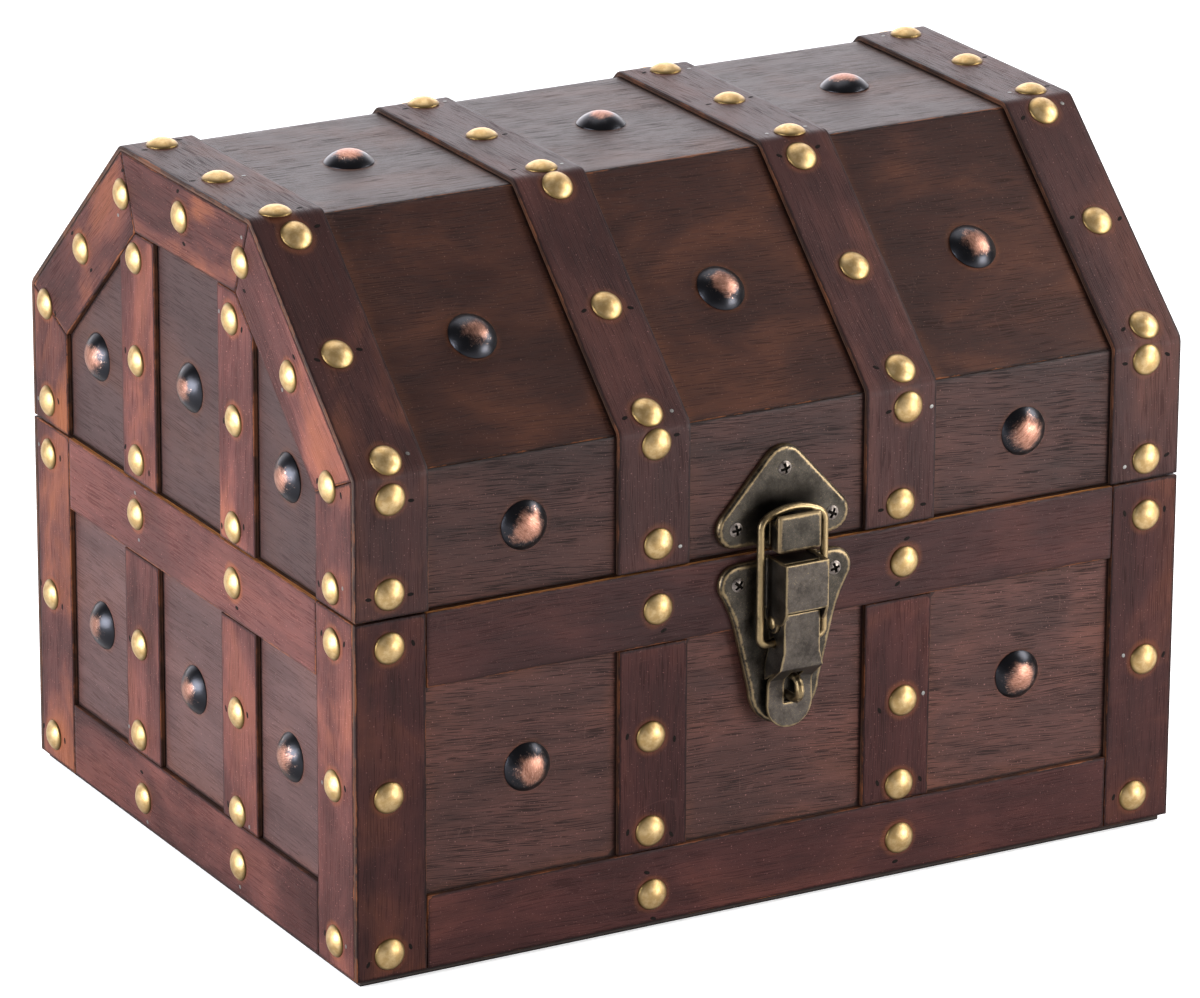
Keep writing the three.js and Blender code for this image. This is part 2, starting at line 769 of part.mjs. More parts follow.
// Catch plate on the lid, with a boxed hook whose seat carries the crossbar of the loop behind a lip.
function catchPlate() {
  const seat = -stripThickness;
  const plate = pressedPlate(catchOutline(), seat);
  const face = seat + plateRise - plateRimSoft;
  const seatTop = loopShoulder - wireRadius - hookSeatPlay;
  const seatFront = loopOut + wireRadius + hookSeatRoom;
  const seatBack = loopOut - hookSeatHold;
  const cheek = [
    [out(seatBack), hookBottom],
    [out(hookReach), hookBottom],
    [out(hookReach), hookLipTop],
    [out(hookReach - sheet), hookLipTop],
    [out(seatFront), seatTop],
    [out(seatBack), seatTop],
  ];
  const left = latchMiddle - hookHalfWidth;
  const right = latchMiddle + hookHalfWidth;
  const box = prismX(cheek, left, right);
  const hollow = block(
    [left + sheet, out(hookReach - sheet), hookBottom + sheet],
    [right - sheet, out(seatBack - cutOverrun), hookLipTop + cutOverrun],
  );
  const floor = block([left, out(seatBack + sheet), hookBottom], [right, out(face), hookBottom + sheet]);
  const hook = join(cut(box, hollow), floor);
  const lobe = catchHalfWidth - catchLobeRadius;
  const holes = [[-lobe, catchLobeHeight], [lobe, catchLobeHeight], [0, catchApexHeight]];
  return cut(join(plate, hook), ...holes.map(([x, z]) => screwHole(x, z, seat)));
}

function baseOutline() {
  const ear = baseEarHalfWidth - baseEarRadius;
  const start = -Math.PI / 5;
  const shoulder = arc(ear, baseEarHeight, baseEarRadius, start, Math.PI / 2, lobeSteps);
  const waist = [baseWaistHalfWidth, baseEarHeight - baseWaistDrop];
  const toe = [baseToeRadius, baseToeHeight];
  const along = unit(toe, waist);
  const fall = shoulder[0][1] - waist[1];
  const corner = [waist[0] + (along[0] * fall) / 2, waist[1] + (along[1] * fall) / 2];
  const right = [...sweep(waist, corner, shoulder[0], lobeSteps - 2), ...shoulder];
  const flank = [waist, ...right];
  const mirrored = flank.map(([x, z]) => [-x, z]).reverse();
  return [...flank, ...mirrored, ...arc(0, baseToeHeight, baseToeRadius, Math.PI, 2 * Math.PI, 2 * lobeSteps)];
}

function latchBasePlate() {
  const plate = pressedPlate(baseOutline(), 0);
  const ear = baseEarHalfWidth - baseEarRadius;
  const holes = [[-ear, baseEarHeight], [ear, baseEarHeight], [0, basePlateBottom + baseToeScrewRise]];
  return cut(plate, ...holes.map(([x, z]) => screwHole(x, z, 0)));
}

function crossHole(distance, height, radius) {
  const reach = bracketHalfWidth + bracketFootWidth + cutOverrun;
  return rod(latchMiddle, out(distance), height, radius, -reach, reach, "x");
}

// Fixed channel over the pivot end of the lever: front wall, two cheeks with round toes, feet and a top tab.
function latchBracket() {
  const left = latchMiddle - bracketHalfWidth;
  const right = latchMiddle + bracketHalfWidth;
  const toe = arc(pivotOut, pivotHeight, bracketLobeRadius, -Math.PI, 0, lobeSteps);
  const front = [bracketReach, bracketLip];
  const corner = [bracketReach - bracketLobeRadius / 2, pivotHeight];
  const cheek = [
    [plateRise, bracketTop],
    [plateRise, pivotHeight],
    ...toe,
    ...sweep(toe[toe.length - 1], corner, front, lobeSteps),
    front,
    [bracketReach, bracketTop],
  ].map(([distance, z]) => [out(distance), z]);
  const hollow = block(
    [left + sheet, out(bracketReach - sheet), tailBottom],
    [right - sheet, out(-cutOverrun), bracketTop + cutOverrun],
  );
  const underLip = block(
    [left + sheet, out(bracketReach + cutOverrun), tailBottom],
    [right - sheet, out(-cutOverrun), bracketLip],
  );
  const channel = cut(prismX(cheek, left, right), hollow, underLip);
  const tabTop = bracketTop - bracketTabDrop;
  const tab = block(
    [left + sheet / 2, out(bracketTabReach), tabTop - sheet],
    [right - sheet / 2, out(plateRise), tabTop],
  );
  const footTop = bracketTop - bracketTabDrop;
  const foot = block(
    [left - bracketFootWidth, out(plateRise + sheet), footTop - bracketFootHeight],
    [left + sheet / 2, out(plateRise), footTop],
  );
  const otherFoot = block(
    [right - sheet / 2, out(plateRise + sheet), footTop - bracketFootHeight],
    [right + bracketFootWidth, out(plateRise), footTop],
  );
  const hole = crossHole(pivotOut, pivotHeight, pivotRadius + holeClearance);
  return cut(join(channel, tab, foot, otherFoot), hole);
}

function latchPivotPin() {
  const reach = bracketHalfWidth + pivotHeadHeight;
  const half = [
    [bracketHalfWidth, pivotRadius],
    [bracketHalfWidth, pivotHeadRadius],
    [reach - pivotHeadHeight / 3, pivotHeadRadius * 0.8],
    [reach, pivotHeadRadius * 0.4],
    [reach, 0],
  ];
  const profile = [...half.map(([x, radius]) => [-x, radius]).reverse(), ...half];
  const pin = turnedX(profile, out(pivotOut), pivotHeight, pinSides);
  pin.translate(latchMiddle, 0, 0);
  return pin;
}

// Padlock staple: a half ring standing out through the slot in the tail of the lever.
function latchStaple() {
  const section = roundSection(stapleWire);
  const path = new THREE.CurvePath();
  const point = (distance, z) => new THREE.Vector3(latchMiddle, out(distance), z);
  const ring = arc(stapleOut, stapleHeight, stapleRadius, -Math.PI / 2, Math.PI / 2, stapleSteps);
  const line = [[plateRise, ring[0][1]], ...ring, [plateRise, ring[ring.length - 1][1]]];
  for (let i = 0; i + 1 < line.length; i++) {
    path.add(new THREE.LineCurve3(point(...line[i]), point(...line[i + 1])));
  }
  return new THREE.ExtrudeGeometry(section, { steps: stapleSteps, extrudePath: path, bevelEnabled: false });
}

function roundSection(radius) {
  const ring = arc(0, 0, radius, 0, 2 * Math.PI, wireSides).slice(0, wireSides);
  return new THREE.Shape(ring.map(([a, b]) => new THREE.Vector2(a, b)));
}

// Lever: a channel with round-nosed cheeks on the pivot, folding back into a round slotted tail.
function latchLever() {
  const top = pivotHeight + leverNoseRadius;
  const halfWidth = bracketHalfWidth - sheet - leverSidePlay;
  const flareHalfWidth = halfWidth + leverFlare;
  const tailOut = leverReach - tailRecess;
  const nose = arc(pivotOut, pivotHeight, leverNoseRadius, Math.PI, Math.PI / 2, lobeSteps);
  const cheek = [
    [pivotOut - leverNoseRadius, leverFoldHeight - leverHeelLength],
    ...nose,
    [leverReach, top],
    [leverReach, leverFlareEnd],
  ];
  const face = [
    [leverReach, top],
    [leverReach, leverFlareEnd],
    [tailOut + tailLead, leverFoldHeight],
    [tailOut, tailTopHeight],
    [tailOut, tailBottom],
  ];
  const back = face.map(([distance, z], i) => [distance - sheet, i === 1 || i === 2 ? z + sheet / 2 : z]);
  const sideView = (points) => points.map(([distance, z]) => [out(distance), z]);
  const wide = [latchMiddle - tailRadius - cutOverrun, latchMiddle + tailRadius + cutOverrun];
  const frontView = (inset) => {
    const right = [
      [flareHalfWidth - inset, leverFlareEnd],
      [halfWidth - inset, leverFlareStart],
      [halfWidth - inset, top + inset],
    ];
    const left = right.map(([x, z]) => [-x, z]).reverse();
    const disc = arc(0, tailBottom + tailRadius, tailRadius, Math.PI, 2 * Math.PI, 2 * lobeSteps);
    const outline = inset ? [[flareHalfWidth - inset, tailBottom], ...right, ...left,
      [inset - flareHalfWidth, tailBottom]] : [...right, ...left, ...disc];
    return outline.map(([x, z]) => [latchMiddle + x, z]);
  };
  const [near, far] = [out(leverReach + cutOverrun), out(-cutOverrun)];
  const cheeks = cut(prismX(sideView(cheek), ...wide), prismY(frontView(sheet), near, far));
  const facing = prismX(sideView([...face, ...back.reverse()]), ...wide);
  const shaped = common(join(cheeks, facing), prismY(frontView(0), near, far));
  const slotHalf = stapleWire + stapleSlotPlay;
  const slotReach = stapleRadius + stapleWire + stapleSlotPlay;
  const slot = block(
    [latchMiddle - slotHalf, near, stapleHeight - slotReach],
    [latchMiddle + slotHalf, far, stapleHeight + slotReach],
  );
  return cut(
    shaped,
    slot,
    crossHole(pivotOut, pivotHeight, pivotRadius + holeClearance),
    crossHole(loopOut, loopBottom, wireRadius + holeClearance),
  );
}

// Wire loop: its turned-in feet sit in the cheeks of the lever, its arched crossbar in the hook.
function latchLoop() {
  const footCentre = loopBottom + loopFootBend;
  const shoulderCentre = loopShoulder - loopShoulderBend;
  const legFoot = loopHalfWidth - loopFootBend;
  const legTop = loopHalfWidth - loopShoulderBend;
  const steps = lobeSteps - 1;
  const half = [
    [loopEndInset, loopBottom],
    ...arc(legFoot, footCentre, loopFootBend, -Math.PI / 2, 0, steps),
    ...arc(legTop, shoulderCentre, loopShoulderBend, 0, Math.PI / 2, steps),
  ];
  const crown = sweep(half[half.length - 1], [0, 2 * loopCrown - loopShoulder], [-legTop, loopShoulder], lobeSteps);
  const line = [...half, ...crown, ...half.map(([x, z]) => [-x, z]).reverse()];
  const path = new THREE.CurvePath();
  const point = ([x, z]) => new THREE.Vector3(latchMiddle + x, out(loopOut), z);
  for (let i = 0; i + 1 < line.length; i++) {
    path.add(new THREE.LineCurve3(point(line[i]), point(line[i + 1])));
  }
  return new THREE.ExtrudeGeometry(roundSection(wireRadius), {
    steps: loopSteps,
    extrudePath: path,
    bevelEnabled: false,
  });
}

function latch() {
  const group = subgroup("latch");
  add(group, "latch_catch", bronze, catchPlate());
  add(group, "latch_base_plate", bronze, latchBasePlate());
  add(group, "latch_bracket", bronze, latchBracket());
  add(group, "latch_pivot_pin", wornBrass, latchPivotPin());
  add(group, "latch_staple", wornBrass, latchStaple());
  add(group, "latch_lever", bronze, latchLever());
  add(group, "latch_loop", wornBrass, latchLoop());
}

// Hinges: small butt hinges screwed to the back, over the inner straps; the lid leaf has the middle knuckle.

function hinges() {
  const group = subgroup("hinges");
  const axisY = halfDepth + hingeBackset;
  const axisZ = rimHeight + lidGap / 2;
  const knuckle = (hingeWidth - 2 * hingePlay) / 3;
  const clear = hingeKnuckleRadius + hingePlay;
  const face = halfDepth + hingeLeafThickness;
  for (const [name, centre] of [["left", -longStrapCentre], ["right", longStrapCentre]]) {
    const left = centre - hingeWidth / 2;
    const right = centre + hingeWidth / 2;
    const middle = [left + knuckle + hingePlay, right - knuckle - hingePlay];
    const bore = rod(centre, axisY, axisZ, hingePinRadius + hingePlay,
      -hingeWidth / 2 - cutOverrun, hingeWidth / 2 + cutOverrun, "x");
    const barrel = (from, to) =>
      rod(0, axisY, axisZ, hingeKnuckleRadius, from, to, "x");
    const screws = (way) => [-hingeScrewSpread, hingeScrewSpread].flatMap((x) =>
      [clear + hingeScrewRise / 2, hingeLeafHeight - hingeScrewRise / 2].map((rise) =>
        rod(centre + x, 0, axisZ + way * rise, screwHoleRadius, halfDepth - cutOverrun, face + cutOverrun, "y")));
    const baseLeaf = cut(
      join(
        block([left, halfDepth, axisZ - hingeLeafHeight], [right, face, axisZ]),
        barrel(left, left + knuckle),
        barrel(right - knuckle, right),
      ),
      block(
        [middle[0] - hingePlay, halfDepth - cutOverrun, axisZ - clear],
        [middle[1] + hingePlay, axisY + clear, axisZ + clear],
      ),
      bore,
      ...screws(-1),
    );
    const lidLeaf = cut(
      join(
        block([middle[0], halfDepth, axisZ], [middle[1], face, axisZ + hingeLeafHeight]),
        block([left, halfDepth, axisZ + clear], [right, face, axisZ + hingeLeafHeight]),
        barrel(middle[0], middle[1]),
      ),
      bore,
      ...screws(1),
    );
    const end = hingeWidth / 2 + hingePlay;
    const half = [
      [end, hingePinRadius],
      [end, hingePinHeadRadius],
      [end + hingePinHeadHeight, hingePinHeadRadius * 0.6],
      [end + hingePinHeadHeight, 0],
    ];
    const profile = [...half.map(([x, radius]) => [-x, radius]).reverse(), ...half];
    const pin = turnedX(profile, axisY, axisZ, pinSides);
    pin.translate(centre, 0, 0);
    add(group, "hinge_" + name + "_base_leaf", wornBrass, baseLeaf);
    add(group, "hinge_" + name + "_lid_leaf", wornBrass, lidLeaf);
    add(group, "hinge_" + name + "_pin", wornBrass, pin);
  }
}

baseBoards();
baseTrim();
lidBoards();
lidBands();
lidEnds();
latch();
hinges();

export default chest;
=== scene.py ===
import math
import random
import bpy
import numpy as np
from mathutils import Matrix, Vector
from mathutils.kdtree import KDTree


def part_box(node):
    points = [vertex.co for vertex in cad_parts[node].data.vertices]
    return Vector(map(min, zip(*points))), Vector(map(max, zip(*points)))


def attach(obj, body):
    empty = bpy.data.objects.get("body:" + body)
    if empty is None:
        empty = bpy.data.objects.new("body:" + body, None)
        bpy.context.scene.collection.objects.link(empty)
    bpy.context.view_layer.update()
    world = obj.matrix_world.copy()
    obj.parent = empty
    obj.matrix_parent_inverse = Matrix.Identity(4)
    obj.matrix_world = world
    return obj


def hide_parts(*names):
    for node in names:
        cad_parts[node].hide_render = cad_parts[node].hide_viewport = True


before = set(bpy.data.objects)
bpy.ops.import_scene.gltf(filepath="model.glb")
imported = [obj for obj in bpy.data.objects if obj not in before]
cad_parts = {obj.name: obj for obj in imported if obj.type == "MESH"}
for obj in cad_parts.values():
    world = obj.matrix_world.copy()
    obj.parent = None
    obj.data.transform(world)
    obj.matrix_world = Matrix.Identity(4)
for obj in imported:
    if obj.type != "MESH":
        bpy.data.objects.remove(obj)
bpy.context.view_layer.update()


# Studio. The camera stands off the left front corner, a little above the lid, with a long lens. A white
# floor lies under the chest and reaches far behind it, one large soft light stands at its left and weaker
# ones stand in front of it, at its right and over it.
studio = bpy.context.scene
studio.view_settings.view_transform = "Standard"


def plug(tree, node, sockets):
    """Links or sets inputs of a node. A colour goes without its alpha."""
    for key, value in sockets.items():
        socket = node.inputs[key]
        if isinstance(value, bpy.types.NodeSocket):
            tree.links.new(value, socket)
        else:
            socket.default_value = (*value, 1) if socket.type == "RGBA" else value
    return node


def add_node(tree, kind, sockets=None, **settings):
    made = tree.nodes.new(kind)
    for key, value in settings.items():
        setattr(made, key, value)
    return plug(tree, made, sockets or {})


def new_material(name, metallic=0.0):
    material = bpy.data.materials.new(name)
    material.use_nodes = True
    shader = material.node_tree.nodes["Principled BSDF"]
    shader.inputs["Metallic"].default_value = metallic
    return material, material.node_tree, shader


def open_mesh():
    """Goes into edit mode with the whole mesh selected."""
    bpy.ops.object.mode_set(mode="EDIT")
    bpy.ops.mesh.select_all(action="SELECT")


def close_mesh():
    bpy.ops.object.mode_set(mode="OBJECT")


lens = bpy.data.cameras.new("photo_lens")
lens.sensor_width = 36
lens.lens = 222.1
lens.clip_end = 50
camera = bpy.data.objects.new("photo_camera", lens)
studio.collection.objects.link(camera)
studio.camera = camera
azimuth, elevation, roll = math.radians(-29.25), math.radians(19.20), math.radians(0.27)
towards = Vector((
    math.sin(azimuth) * math.cos(elevation),
    -math.cos(azimuth) * math.cos(elevation),
    math.sin(elevation),
))
level = Vector((math.cos(azimuth), math.sin(azimuth), 0))
upward = towards.cross(level)
right = level * math.cos(roll) + upward * math.sin(roll)
top = upward * math.cos(roll) - level * math.sin(roll)
camera.matrix_world = Matrix((right, top, towards)).transposed().to_4x4()
camera.location = (-1.234184, -2.204344, 0.991517)

bpy.ops.object.select_all(action="DESELECT")
bpy.ops.mesh.primitive_grid_add(x_subdivisions=8, y_subdivisions=8, size=9, location=(0, 0, -0.0003))
floor = bpy.context.object
floor.name = "studio_floor"
open_mesh()
bpy.ops.mesh.bevel(offset=0.02, segments=2, affect="VERTICES")
close_mesh()
bpy.ops.object.transform_apply(location=True, rotation=True, scale=True)
paper, tree, shader = new_material("white_paper")
lit = add_node(tree, "ShaderNodeLightPath").outputs["Is Camera Ray"]
glare = add_node(tree, "ShaderNodeMath", {0: lit, 1: 0.62}, operation="MULTIPLY").outputs[0]
plug(tree, shader, {"Base Color": (0.86, 0.86, 0.86), "Roughness": 0.9, "Specular IOR Level": 0.0,
                    "Emission Color": (1, 1, 1), "Emission Strength": glare})
floor.data.materials.append(paper)

white = (1, 1, 1)
for name, place, aim, width, height, power, tint in (
        ("left_softbox", (-1.45, -0.01, 0.31), (-0.1, 0, 0.11), 0.95, 0.75, 38, (0.96, 1.0, 1.08)),
        ("front_softbox", (0.85, -1.15, 0.14), (0.05, 0, 0.1), 0.6, 0.5, 17.5, white),
        ("right_softbox", (0.72, -0.36, 0.60), (0.15, -0.03, 0.19), 0.4, 0.4, 6.0, white),
        ("top_softbox", (0.1, 0.5, 1.7), (0, 0, 0.1), 1.0, 0.8, 6, white)):
    light = bpy.data.lights.new(name, "AREA")
    light.shape = "RECTANGLE"
    light.size, light.size_y, light.energy, light.color = width, height, power, tint
    lamp = bpy.data.objects.new(name, light)
    studio.collection.objects.link(lamp)
    lamp.location = place
    lamp.rotation_euler = (Vector(aim) - Vector(place)).to_track_quat("-Z", "Y").to_euler()

world = bpy.data.worlds.new("studio_walls")
studio.world = world
world.use_nodes = True
tree = world.node_tree
tree.nodes.clear()
sky_way = add_node(tree, "ShaderNodeTexCoord").outputs["Generated"]
behind = add_node(tree, "ShaderNodeVectorMath", {0: sky_way, 1: (0.35, 0.93, 0.1)}, operation="DOT_PRODUCT")
glow = add_node(tree, "ShaderNodeMapRange", {"Value": behind.outputs["Value"], "From Min": 0.45,
                                             "From Max": 0.95, "To Min": 0.18, "To Max": 3.6})
seen = add_node(tree, "ShaderNodeLightPath").outputs["Is Camera Ray"]
shade = add_node(tree, "ShaderNodeMix", {0: seen, 2: glow.outputs[0], 3: 1.0}).outputs[0]
sky = add_node(tree, "ShaderNodeBackground", {"Color": (1.0, 0.975, 1.03), "Strength": shade})
add_node(tree, "ShaderNodeOutputWorld", {"Surface": sky.outputs[0]})


# Boards of the base and the lid. They are 8 mm plywood with a dark mahogany face veneer, rubbed with
# stain and wax. The long boards run through and the ends stand between them. In the lid they are
# mitred at each bend. Each is sawn from a grid, planed to its outline and its arrises are eased.
board_thickness, strip_thickness = 0.008, 0.0021
strip_width, band_width = 0.027, 0.0282
half_length, half_depth = 0.1629, 0.1249
frame_foot, rim = 0.0025, 0.1325
lid_foot, knee_height, crown_height = 0.1332, 0.1842, 0.255
knee_reach, crown_reach = 0.127, 0.05075
long_strap, end_strap = 0.0493, 0.0385
long_stile, end_stile = 0.138, 0.0979
brass_radius, copper_radius = 0.0058, 0.0089
weld_gap, flat_angle = 0.00002, 0.02
random.seed(11)
nail_spots = []

# The pieces that the photo shows: how light, how orange and how rubbed each is, and how far each of its
# nails was driven from its even place, along and across the strip, in mm. The rest keep their nails at
# their even places and take the tone they are laid with, drawn by lot for most strips.
# How light each piece is stands partly for its own tone and partly for painted light and shade that even out how the
# lamps fall on it.
in_view = {
    "base_front_board": ((1.0, 0.12, 0.3), (2.5, 1.5)),
    "base_left_board": ((0.76, 0.12, 0.4),),
    "lid_front_board": ((0.64, 0.05, 0.3), (1.5, -1.5)),
    "lid_front_slope_board": (None, (0, -2.5), (-2, 0)),
    "lid_left_board": ((0.46, 0.2, 0.6),),
    "front_left_stile": ((0.85, 0.32, 0.6), (0.5, 0.5), (1, 1), (-2, 1)),
    "front_left_strap": ((1.0, 0.08, 0.5), (1.5, 1), (0, 1)),
    "front_right_stile": ((0.93, 0.25, 0.5), (-2.5, -0.5), (-3, -1.5), (-0.5, 1.5)),
    "front_right_strap": ((1.1, 0.15, 0.5), (-3.5, -2.5), (-1.5, -1.5)),
    "front_top_rail": ((0.82, 0.05, 0.7), (1.5, -0.5), (2, 0)),
    "front_bottom_rail": ((1.14, 0.08, 0.5), (0, -3), (2, -1)),
    "left_front_stile": ((1.08, 0.3, 0.6), (-1, 1), (2, 1), (-0.5, 0.5)),
    "left_front_strap": ((1.02, 0.25, 0.3), (1, 1.5), (-2.5, 1.5)),
    "left_back_stile": ((0.95, 0.7, 0.7), (-0.5, 3), (-0.5, 3.5), (-1, 3.5)),
    "left_back_strap": ((0.98, 0.15, 0.3), (1, 2), (-0.5, 3.5)),
    "left_top_rail": ((0.9, 0.06, 0.9), (3.5, 0), (3.5, -1.5)),
    "left_bottom_rail": ((0.8, 0.08, 0.4), (1.5, 1.5), (1, 3)),
    "lid_band_outer_left": ((0.95, 0.3, 0.5), (0, -1), (-1.5, -0.5), (-1, 0), (-2, -2), (-1, 0.5),
                            (-2.5, -2.5), (-2.5, -2), (-1.5, -1)),
    "lid_band_inner_left": ((1.0, 0.05, 0.4), (0.5, 1.5), (1.5, 0.5), (0, -0.5), (-0.5, 1), (2.5, 1.5),
                            (1, 1), (0.5, 1.5), (0.5, 2)),
    "lid_band_inner_right": ((1.05, 0.1, 0.4), (-1, 0), (-1, 2.5), (0, 2), (-1, 1.5), (-1, -0.5),
                             (-1.5, 1), (-1.5, 2.5), (-2, 1.5)),
    "lid_band_outer_right": ((0.95, 0.1, 0.4), (-1, 0.5), (1, -0.5), (0.5, 1.5), (1, 1.5), (2, 0),
                             (2.5, 2.5), (1, 2.5), (-2, 2)),
    "lid_left_border_front": ((0.9, 0.35, 0.5), (-1, 1.5), (-0.5, 3.5)),
    "lid_left_border_front_slope": ((1.2, 0.4, 0.6), (0.5, 2.5)),
    "lid_left_border_top": ((0.84, 0.7, 0.5), (2.5, 0), (3, -2), (3, 0.5)),
    "lid_left_border_back_slope": ((0.78, 0.6, 0.8), (2, -0.5)),
    "lid_left_border_back": ((0.8, 0.9, 1.0), (-1.5, -3.5), (0, -3)),
    "lid_left_front_strap": ((1.3, 0.4, 0.5), (-2, 2.5), (-1, 1), (-3, 3)),
    "lid_left_back_strap": ((1.03, 0.35, 0.5), (-0.5, 2), (-1.5, 1), (-2, 1.5)),
}


def drifted(name, nails):
    """The nails of a piece, moved from their even places as in the photo."""
    moves = in_view.get(name, (None,))[1:]
    moves += ((0, 0),) * (len(nails) - len(moves))
    return [(u + du / 1000, v + dv / 1000) for (u, v), (du, dv) in zip(nails, moves)]


def stand_frame(outward, along, origin):
    """The matrix whose axes are the grain, the width and the outward side of a piece of wood."""
    w = Vector(outward).normalized()
    u = Vector(along).normalized()
    v = w.cross(u)
    placed = Matrix((u, v, w)).transposed().to_4x4()
    placed.translation = Vector(origin)
    return placed


def read_array(items, label, width=3, kind=float):
    values = np.zeros(len(items) * width, kind)
    items.foreach_get(label, values)
    return values.reshape(-1, width)


def read_points(piece):
    return read_array(piece.data.vertices, "co")


def saw_wood(name, outline, thickness, pitch, ease, mitres=(), trim=None, bends=False):
    """A board lying flat with its back at 0. Its outline is of (along, across) points, and trim gives
    the direction and the two limits of an outline that isn't square. The back of a strip that bends
    keeps its grid, and any other back is one face."""
    low, high = np.min(outline, axis=0), np.max(outline, axis=0)
    length, width = high - low
    bpy.ops.object.select_all(action="DESELECT")
    bpy.ops.mesh.primitive_grid_add(
        x_subdivisions=max(1, round(length / pitch[0])), y_subdivisions=max(1, round(width / pitch[1])),
        size=1, location=(*(low + high) / 2, thickness))
    piece = bpy.context.object
    piece.name = piece.data.name = name
    piece.scale = (length, width, 1)
    bpy.ops.object.transform_apply(location=True, rotation=True, scale=True)
    open_mesh()
    bpy.ops.mesh.extrude_region_move(TRANSFORM_OT_translate={"value": (0, 0, -thickness)})
    if not bends:
        bpy.ops.mesh.dissolve_limited(angle_limit=flat_angle)
    for point, normal in mitres:
        bpy.ops.mesh.select_all(action="SELECT")
        bpy.ops.mesh.bisect(plane_co=point, plane_no=normal, use_fill=True, clear_outer=True)
    bpy.ops.mesh.select_all(action="SELECT")
    bpy.ops.mesh.remove_doubles(threshold=weld_gap)
    bpy.ops.mesh.normals_make_consistent(inside=False)
    bpy.ops.mesh.select_mode(type="EDGE")
    bpy.ops.mesh.select_all(action="DESELECT")
    bpy.ops.mesh.edges_select_sharp(sharpness=0.45)
    bpy.ops.mesh.bevel(offset=ease, segments=2, affect="EDGES")
    close_mesh()
    if trim:
        axis, limits = trim
        points = read_points(piece)
        first, last = limits(points[:, 1 - axis])
        share = (points[:, axis] - low[axis]) / (high[axis] - low[axis])
        points[:, axis] = first + share * (last - first)
        piece.data.vertices.foreach_set("co", points.ravel())
    return piece


def write_note(piece, label, values):
    kind = "FLOAT_VECTOR" if values.ndim == 2 else "FLOAT"
    note = piece.data.attributes.new(label, kind, "POINT")
    note.data.foreach_set("vector" if values.ndim == 2 else "value", values.ravel())


def note_wood(piece, outline, thickness, nails, nail_radius, tone, covers=(), rim_cover=None):
    """Writes where each point lies in the wood: along the grain, from the edge, from a nail, from a strip
    glued on it, and the batch."""
    far_off = 0.05
    points = read_points(piece)
    grain = points + np.array([random.uniform(0, 3), random.uniform(0, 3), 0])
    grain[:, 2] = np.clip(thickness - points[:, 2], 0, None)
    centre = np.mean(np.array(outline), axis=0)
    edges = []
    for a, b in zip(outline, outline[1:] + outline[:1]):
        inward = np.array([b[1] - a[1], a[0] - b[0]])
        inward = inward / np.hypot(*inward)
        if inward @ (centre - a) < 0:
            inward = -inward
        edges.append((points[:, :2] - a) @ inward)
    halo = np.full(len(points), far_off)
    for u, v in nails:
        halo = np.minimum(halo, np.hypot(points[:, 0] - u, points[:, 1] - v) - nail_radius)
    seam = np.full(len(points), far_off)
    for low, high in covers:
        seam = np.minimum(seam, np.maximum(low - points[:, :2], points[:, :2] - high).max(axis=1))
    if rim_cover:
        seam = np.minimum(seam, np.min(edges[:-1], axis=0) - rim_cover)
    write_note(piece, "grain", grain)
    write_note(piece, "edge", np.min(edges, axis=0))
    write_note(piece, "halo", np.maximum(halo, 0))
    write_note(piece, "seam", seam)
    write_note(piece, "tone", np.tile(np.array(tone, float), (len(points), 1)))


def pick(*pieces):
    """Selects these pieces alone, with the first of them active."""
    bpy.ops.object.select_all(action="DESELECT")
    for piece in pieces:
        piece.select_set(True)
    bpy.context.view_layer.objects.active = pieces[0]


def fit_out(piece, body, material, finish, node=None):
    """Gives a piece its material and its body, and hides the node that it stands for. The finish is not used."""
    piece.data.materials.clear()
    piece.data.materials.append(material)
    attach(piece, body)
    if node:
        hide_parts(node)


def settle_wood(piece, *fittings):
    """Shades a piece of wood with its eased edges round, and fits it out."""
    pick(piece)
    bpy.ops.object.shade_smooth_by_angle(angle=math.radians(38))
    fit_out(piece, *fittings)


def lay_wood(name, body, outline, thickness, place, material, finish, nails=(), kind="brass", tone=(1, 0, 0.5),
             pitch=(0.0027, 0.0027), ease=0.0005, mitres=(), trim=None, node=None, covers=(), rim_cover=None):
    """Saws a piece, notes its surface, sets it down at its place in the chest and lets it ride on its body."""
    piece = saw_wood("wood_" + name, outline, thickness, pitch, ease, mitres, trim)
    nails = drifted(name, nails)
    tone = in_view.get(name, (None,))[0] or tone
    radius = copper_radius if kind == "copper" else brass_radius
    note_wood(piece, outline, thickness, nails, radius, tone, covers, rim_cover)
    piece.data.transform(place)
    for u, v in nails:
        nail_spots.append((name, body, kind, place @ Matrix.Translation((u, v, thickness))))
    settle_wood(piece, body, material, finish, node or name)


def start_group(name, takes, gives):
    """A shader group. An input without a value is a vector, and every other socket is a number."""
    group = bpy.data.node_groups.new(name, "ShaderNodeTree")
    for label, value in takes.items():
        kind = "NodeSocketVector" if value is None else "NodeSocketFloat"
        socket = group.interface.new_socket(name=label, in_out="INPUT", socket_type=kind)
        if value is not None:
            socket.default_value = value
    for label in gives:
        group.interface.new_socket(name=label, in_out="OUTPUT", socket_type="NodeSocketFloat")
    return group, add_node(group, "NodeGroupInput").outputs, add_node(group, "NodeGroupOutput")


def calc(tree, operation, first, second=0.0, third=0.0):
    return add_node(tree, "ShaderNodeMath", {0: first, 1: second, 2: third}, operation=operation).outputs[0]


def times(tree, value, factor, plus=0.0):
    """The value times a factor, plus a number."""
    return calc(tree, "MULTIPLY_ADD", value, factor, plus)


def mix_colours(tree, mask, first, second, blend="MIX"):
    return add_node(tree, "ShaderNodeMix", {0: mask, 6: first, 7: second}, data_type="RGBA",
                    blend_type=blend).outputs[2]


